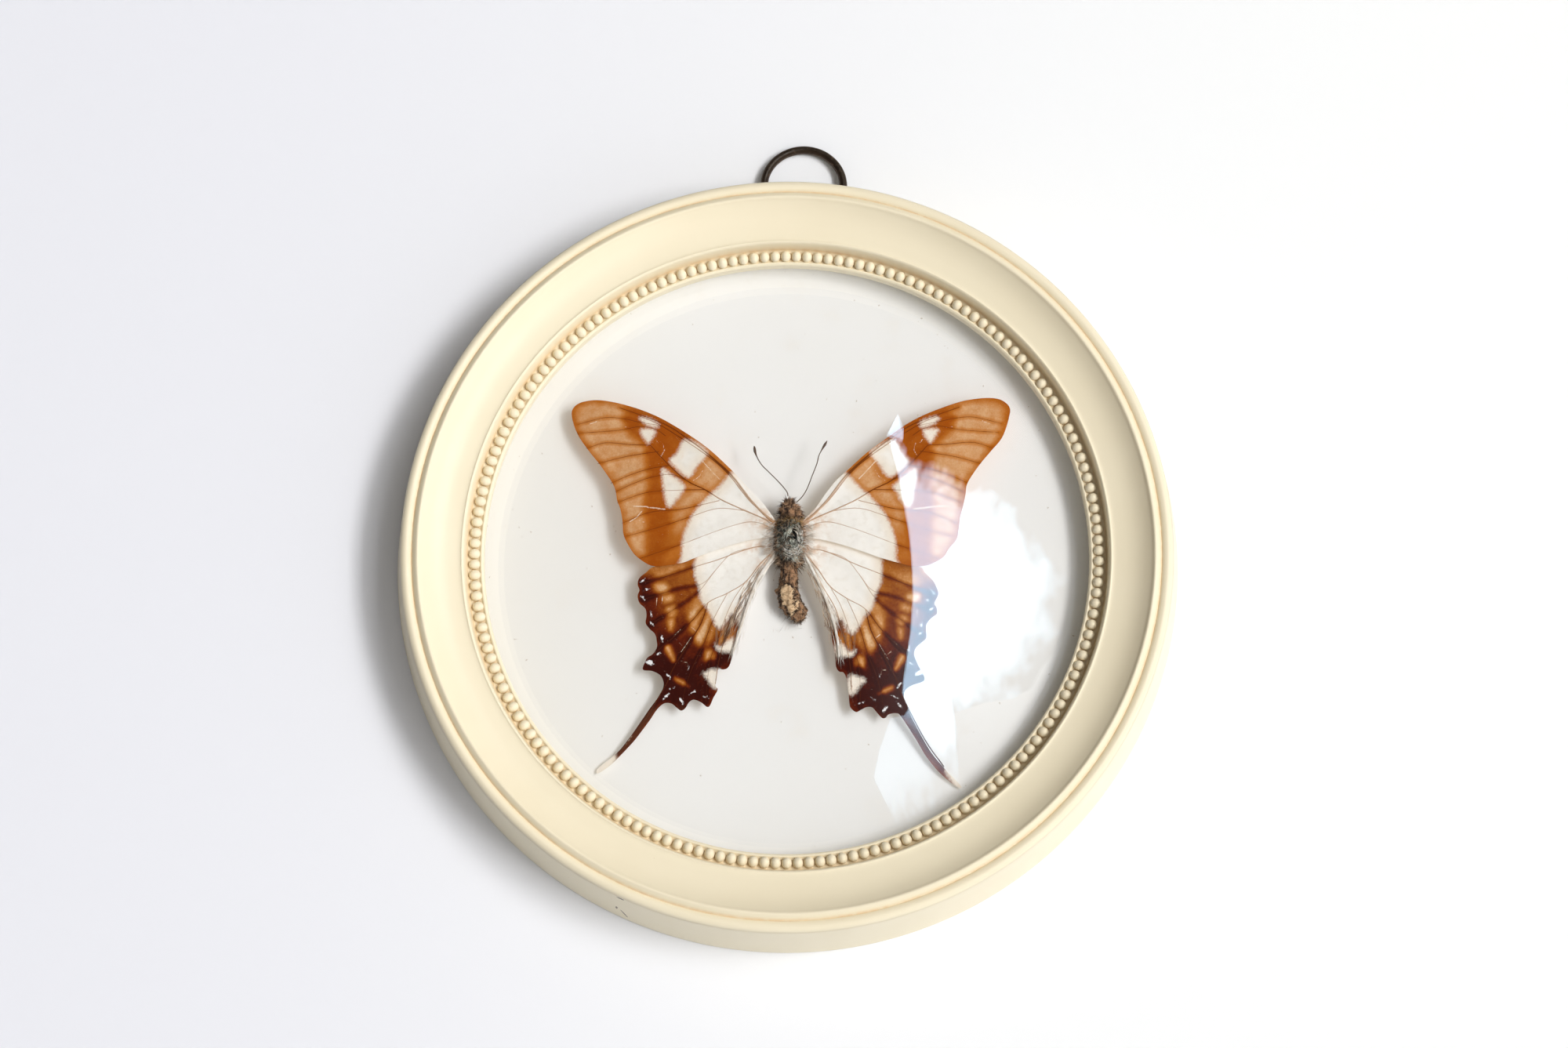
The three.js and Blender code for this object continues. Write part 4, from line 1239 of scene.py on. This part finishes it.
# The pleat and the row of brown hairs beside it on each hindwing
LEFT_FOLD = [(-2.2, -0.2), (-5.1, -4.9), (-6.8, -9.5), (-8.3, -14.9), (-9.6, -20.0)]
LEFT_STREAK = [(-4.6, -2.6), (-6.6, -6.2), (-8.8, -10.8), (-10.2, -14.4), (-11.4, -17.6)]
RIGHT_FOLD = [(3.4, 0.1), (5.2, -3.2), (7.0, -6.6), (8.5, -10.0), (9.7, -13.4), (10.6, -17.2), (10.9, -20.0)]
RIGHT_STREAK = [(4.4, -2.9), (6.2, -6.2), (7.6, -9.8), (9.0, -13.6), (9.9, -16.6)]


def fold_hairs(white, brown):
    """A raised white pleat along the inner edge of each hindwing, with white and brown hairs beside it."""
    for side, ridge, streak in (("left", LEFT_FOLD, LEFT_STREAK), ("right", RIGHT_FOLD, RIGHT_STREAK)):
        line = smooth_line(ridge, 10)
        swell = np.sin(np.linspace(0.15, 1, len(line)) * np.pi) ** 0.5
        route = np.column_stack([line, hindwing_height(line) + 0.2])
        pleat = tube(route, 0.1 + 0.2 * swell, 8, 0.8)
        fields = {"tone": 0.4 + 0.6 * bumpy(pleat[0], 1.2, 31)}
        add_mesh(side + "_fold_pleat", *pleat, white, slot="hindwing", fields=fields)
        for name, material, near, count, spread in (
            ("_white_hair", white, ridge, 150, 0.4), ("_brown_hair", brown, streak, 90, 0.45),
        ):
            track = smooth_line(near, 24)
            at = RNG.integers(0, len(track) - 1, count)
            flat = track[at] + np.stack([RNG.normal(0, spread, count), RNG.normal(0, 0.15, count)], -1)
            ahead = unit(track[at + 1] - track[at])
            ahead[:, 0] += RNG.normal(0, 0.1, count)
            roots = np.column_stack([flat, hindwing_height(flat) + RNG.uniform(0.08, 0.2, count)])
            along = np.column_stack([ahead, RNG.normal(-0.03, 0.03, count)])
            sag = RNG.normal(0, 0.05, (count, 3))
            lengths = RNG.uniform(1.2, 3.4, count)
            add_hairs(side + name, material, roots, along, lengths, 0.045, sag, "hindwing")


def loose_hairs(material):
    """A few hairs that have dropped on the card by the tip of the abdomen."""
    count = 46
    x = RNG.normal(1.6, 1.6, count)
    y = RNG.normal(-11.6, 1.5, count)
    roots = np.stack([x, y, np.full(count, CARD_TOP_Z + 0.1)], -1)
    turn = RNG.uniform(0, 2 * np.pi, count)
    along = np.stack([np.cos(turn), np.sin(turn), 0 * turn], -1)
    sag = np.column_stack([RNG.normal(0, 0.4, (count, 2)), np.zeros(count)])
    add_hairs("loose_hairs", material, roots, along, RNG.uniform(0.5, 1.8, count), 0.018, sag)


def all_fur():
    brown = fur("brown_hair", rgb(44, 28, 18), rgb(214, 172, 136))
    olive = fur("olive_hair", rgb(80, 56, 22), rgb(206, 168, 104))
    grey = fur("grey_green_hair", rgb(30, 33, 27), rgb(224, 226, 214))
    dusty = fur("dusty_hair", rgb(60, 44, 32), rgb(190, 166, 140))
    white = fur("white_hair", rgb(206, 194, 178), rgb(250, 248, 244))
    straw = fur("straw_hair", rgb(130, 92, 64), rgb(222, 196, 168))
    fur_patch("head_fur", brown, 1500, 10.6, 6.2, 0.8, (0, 0.2, 0.1), (-40, 220), 0.065)
    fur_patch("head_tufts", brown, 700, 10.6, 6.2, 1.3, (0, 0.15, 0.1), (-60, 240), 0.08)
    fur_patch("collar_fur", olive, 800, 7.0, 5.0, 0.9, (0, -0.1, 0.2))
    fur_patch("thorax_fur", grey, 1500, 5.4, -1.4, 1.0, (0, -0.2, 0), (25, 155), 0.085, 1.8)
    fur_patch("side_fur", brown, 700, 5.8, -1.8, 1.2, (0, -0.15, 0), (140, 215))
    fur_patch("other_side_fur", brown, 700, 5.8, -1.8, 1.2, (0, -0.15, 0), (-35, 40))
    fur_patch("side_tufts", dusty, 750, 6.2, -2.4, 2.0, (0, -0.1, 0), (-50, 230), 0.08)
    fur_patch("abdomen_fur", dusty, 700, -0.8, -13, 0.7, (0, -0.5, 0), (-35, 215), 0.045)
    wing_root_tufts(white)
    thorax_wisps(white)
    fold_hairs(white, straw)
    loose_hairs(dusty)


def antenna(name, node, route, material):
    curve = smooth_line(route, 10)
    steps = np.concatenate([[0], np.cumsum(np.linalg.norm(np.diff(curve, axis=0), axis=1))])
    to_end = steps[-1] - steps
    radius = 0.095 + 0.17 * np.exp(-((to_end - 0.9) / 0.95) ** 2) * (to_end < 3)
    radius[-3:] *= (0.9, 0.7, 0.35)
    piece = add_mesh(name, *tube(curve, radius, 10), material, slot="antenna", crease_deg=80)
    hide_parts(node)


def antennae():
    paint = Paint("antenna_brown", 0.5)
    paint.colour(paint.mix(paint.noise(0.8, 3), rgb(112, 86, 68), rgb(72, 54, 42)))
    antenna("left_feeler", "left_antenna", LEFT_ANTENNA, paint.material)
    antenna("right_feeler", "right_antenna", RIGHT_ANTENNA, paint.material)


# The room: a pale table, a window to the right and soft light all round


TABLE_HALF = 3000
TABLE_DROP = 0.02  # keeps the table's face apart from the back's


def floor():
    paint = Paint("pale_table", 0.5)
    # Painted light: the table is brighter towards the window on the right.
    across = paint.step(paint.along("X"), -0.16, 0.16)
    paint.colour(paint.mix(across, rgb(240, 242, 250), rgb(252, 254, 255)))
    far = TABLE_HALF
    table = [(-far, -far, 0), (far, -far, 0), (far, far, 0), (-far, far, 0)]
    piece = add_mesh("table_top", table, [(0, 1, 2, 3)], paint.material, body=None)
    piece.location.z = -TABLE_DROP * MM


WINDOW_X = 900.0  # the window's plane, upright, to the right of the frame
WINDOW_GLOW = 8.6
WINDOW_TOP = [
    (1860, 2632), (1420, 2482), (1020, 2372), (730, 2272), (440, 2212), (190, 2182), (-50, 2192),
    (-270, 2232), (-480, 2262), (-560, 2252), (-640, 2082), (-710, 2142), (-840, 2462), (-1220, 2652),
    (-1570, 2712),
]
WINDOW_FOOT = [
    (-1400, 1882), (-1050, 1512), (-800, 1222), (-720, 1262), (-730, 1412), (-550, 1362), (-510, 1412),
    (-530, 1572), (-440, 1532), (-370, 1402), (-280, 1212), (-220, 1042), (-160, 942), (-70, 892), (-20, 842),
    (40, 802), (130, 782), (200, 782), (270, 842), (290, 892), (350, 922), (430, 1002), (500, 1032),
    (580, 1122), (760, 1362), (990, 1642), (1200, 2022), (1310, 2122), (1590, 2322),
]
WINDOW_CORNER = [(2010, 2312), (1740, 2212), (1630, 2262), (1990, 2692)]
WINDOW_MIDDLE = (250, 1980)
WINDOW_FOOT_DROP = 0.1  # the panel goes on below the foot that is seen, by this share of the way
WINDOW_TINT = (0.55, 0.542, 0.53, 1)
WINDOW_TINT_IN_GLASS = (0.6, 0.83, 1.05, 1)
WINDOW_DIM_FROM_Y = -760  # the end of the window nearer the camera is dimmer
WINDOW_DIM_REACH = 150
WINDOW_DIMMEST = 0.28
WINDOW_FADE = 0.36  # how much of the way to the middle the trees dim it
TREES_SIZE = 1000 / 7
TREES_RANGE = (0.52, 1.15)  # from dark to bright


def window_light():
    """Neutral on what it lights, and bluer where it is seen in the glass."""
    glow = Glow("window_light")
    in_glass = glow.node("ShaderNodeLightPath").outputs["Is Glossy Ray"]
    trees = glow.add(glow.noise(TREES_SIZE, 2, 0.5), glow.field("fade"))
    strength = glow.step(trees, *TREES_RANGE, 0, WINDOW_GLOW, "LINEAR")
    reach = (WINDOW_DIM_FROM_Y * MM, (WINDOW_DIM_FROM_Y + WINDOW_DIM_REACH) * MM)
    near_end = glow.step(glow.along("Y"), *reach, WINDOW_DIMMEST, 1, "LINEAR")
    glow.shine(glow.mix(in_glass, WINDOW_TINT, WINDOW_TINT_IN_GLASS), glow.times(strength, near_end))
    return glow.material


def window():
    """The bright window that lights the frame and shows in the dome."""
    seen = np.array(WINDOW_FOOT, float)
    foot = seen - WINDOW_FOOT_DROP * (np.array(WINDOW_MIDDLE) - seen)
    inner = foot + WINDOW_FADE * (np.array(WINDOW_MIDDLE) - foot)
    top = np.array(WINDOW_TOP, float)
    flat = np.vstack([foot, inner, top])
    count = len(foot)
    faces = [(i, i + 1, count + i + 1, count + i) for i in range(count - 1)]
    faces.append(tuple(range(2 * count, len(flat))) + tuple(range(count, 2 * count)))
    faces += [(len(flat) - 1, 0, count), (2 * count - 1, count - 1, 2 * count)]
    fade = np.where(np.arange(len(flat)) < count, 0.0, 1.0)
    glow = window_light()
    for name, outline, sides, dim in (
        ("window_main", flat, faces, fade),
        ("window_corner", np.array(WINDOW_CORNER), [(0, 1, 2, 3)], np.ones(4)),
    ):
        points = np.column_stack([np.full(len(outline), WINDOW_X), outline])
        pane = add_mesh(name, points, sides, glow, body=None, fields={"fade": dim})
        pane.visible_camera = False
    sky()


SKY_Y = (-450.0, 350.0)
SKY_Z = (1080.0, 1480.0)
SKY_GLOW = 25.0
SKY_TINT = (1.0, 0.985, 0.965, 1)


def sky():
    """The brightest part of the sky, which casts most of the shadow. The glass doesn't show it apart."""
    glow = Glow("sky_light")
    glow.shine(SKY_TINT, SKY_GLOW)
    points = [(WINDOW_X - 1, y, z) for y, z in zip(SKY_Y + SKY_Y[::-1], np.repeat(SKY_Z, 2))]
    pane = add_mesh("sky", points, [(0, 1, 2, 3)], glow.material, body=None)
    pane.visible_camera = pane.visible_glossy = pane.visible_transmission = False


# Each shade has the side it is brightest on, and how far a direction faces that side from dim to bright
ROOM_BRIGHT_SIDE = (0.72, -0.62, 0.2)
ROOM_REACH = (-1, 1.2)
ROOM_DIM = (0.05, 0.04, 0.024, 1)
ROOM_BRIGHT = (1.3, 1.3, 1.31, 1)
ROOM_SEEN = (0.9, 0.9, 0.9, 1)
WALLS_SIDE = (0, 0, -1)
WALLS_REACH = (-0.5, 0.1)
WALLS = (0.62, 0.62, 0.6, 1)
HAZE_SIDE = (0.65, -0.1, 0.75)
HAZE_REACH = (0.84, 1)
HAZE_THIN = (0.04, 0.04, 0.04, 1)
HAZE_THICK = (1.3, 1.35, 1.4, 1)
SHADE_POWER = 2.5


def world():
    """Soft light, brightest and cool low on the window's side. In the glass it shows only as a haze."""
    made = bpy.data.worlds.new("soft_room")
    nodes = Nodes(made)
    path = nodes.node("ShaderNodeLightPath")
    colour = room_shade(nodes, ROOM_BRIGHT_SIDE, ROOM_REACH, ROOM_DIM, ROOM_BRIGHT)
    walls = room_shade(nodes, WALLS_SIDE, WALLS_REACH, HAZE_THIN, WALLS)
    haze = room_shade(nodes, HAZE_SIDE, HAZE_REACH, walls, HAZE_THICK)
    colour = nodes.mix(path.outputs["Is Glossy Ray"], colour, haze)
    colour = nodes.mix(path.outputs["Is Camera Ray"], colour, ROOM_SEEN)
    nodes.put(colour, nodes.tree.nodes["Background"].inputs["Color"])
    bpy.context.scene.world = made
    bpy.context.scene.view_settings.view_transform = "Standard"


def room_shade(nodes, side, reach, dim, bright):
    """A colour that goes from dim to bright the more a direction faces a side."""
    facing = nodes.node("ShaderNodeVectorMath", operation="DOT_PRODUCT")
    nodes.put(nodes.place("Generated"), facing.inputs[0])
    nodes.put(side, facing.inputs[1])
    share = nodes.step(facing.outputs["Value"], *reach, 0, 1, "LINEAR")
    return nodes.mix(nodes.math("POWER", share, SHADE_POWER), dim, bright)


CAMERA_PLACE = (14.638, -140.827, 584.448)
CAMERA_RIGHT = (0.99911, 0.03878, -0.01668)
CAMERA_UP = (-0.03347, 0.96842, 0.24708)
CAMERA_LENS = 70
CAMERA_SENSOR = 36
CAMERA_CLIP = (0.01, 20)  # metres


def camera():
    """The camera looks down steeply from the hanger's far side."""
    data = bpy.data.cameras.new("camera")
    data.lens = CAMERA_LENS
    data.sensor_width = CAMERA_SENSOR
    data.clip_start, data.clip_end = CAMERA_CLIP
    made = bpy.data.objects.new("camera", data)
    bpy.context.collection.objects.link(made)
    right, up = Vector(CAMERA_RIGHT), Vector(CAMERA_UP)
    axes = Matrix((right, up, right.cross(up))).transposed()
    made.matrix_world = Matrix.Translation(Vector(CAMERA_PLACE) * MM) @ axes.to_4x4()
    bpy.context.scene.camera = made


def dress_card():
    mesh = frame["nodes"]["mount_card"].data
    mesh.materials.clear()
    mesh.materials.append(card_paper())


frame_piece()
glass_piece()
board_piece()
dress_card()
hanger()
wings()
body_piece()
all_fur()
antennae()
floor()
window()
world()
camera()
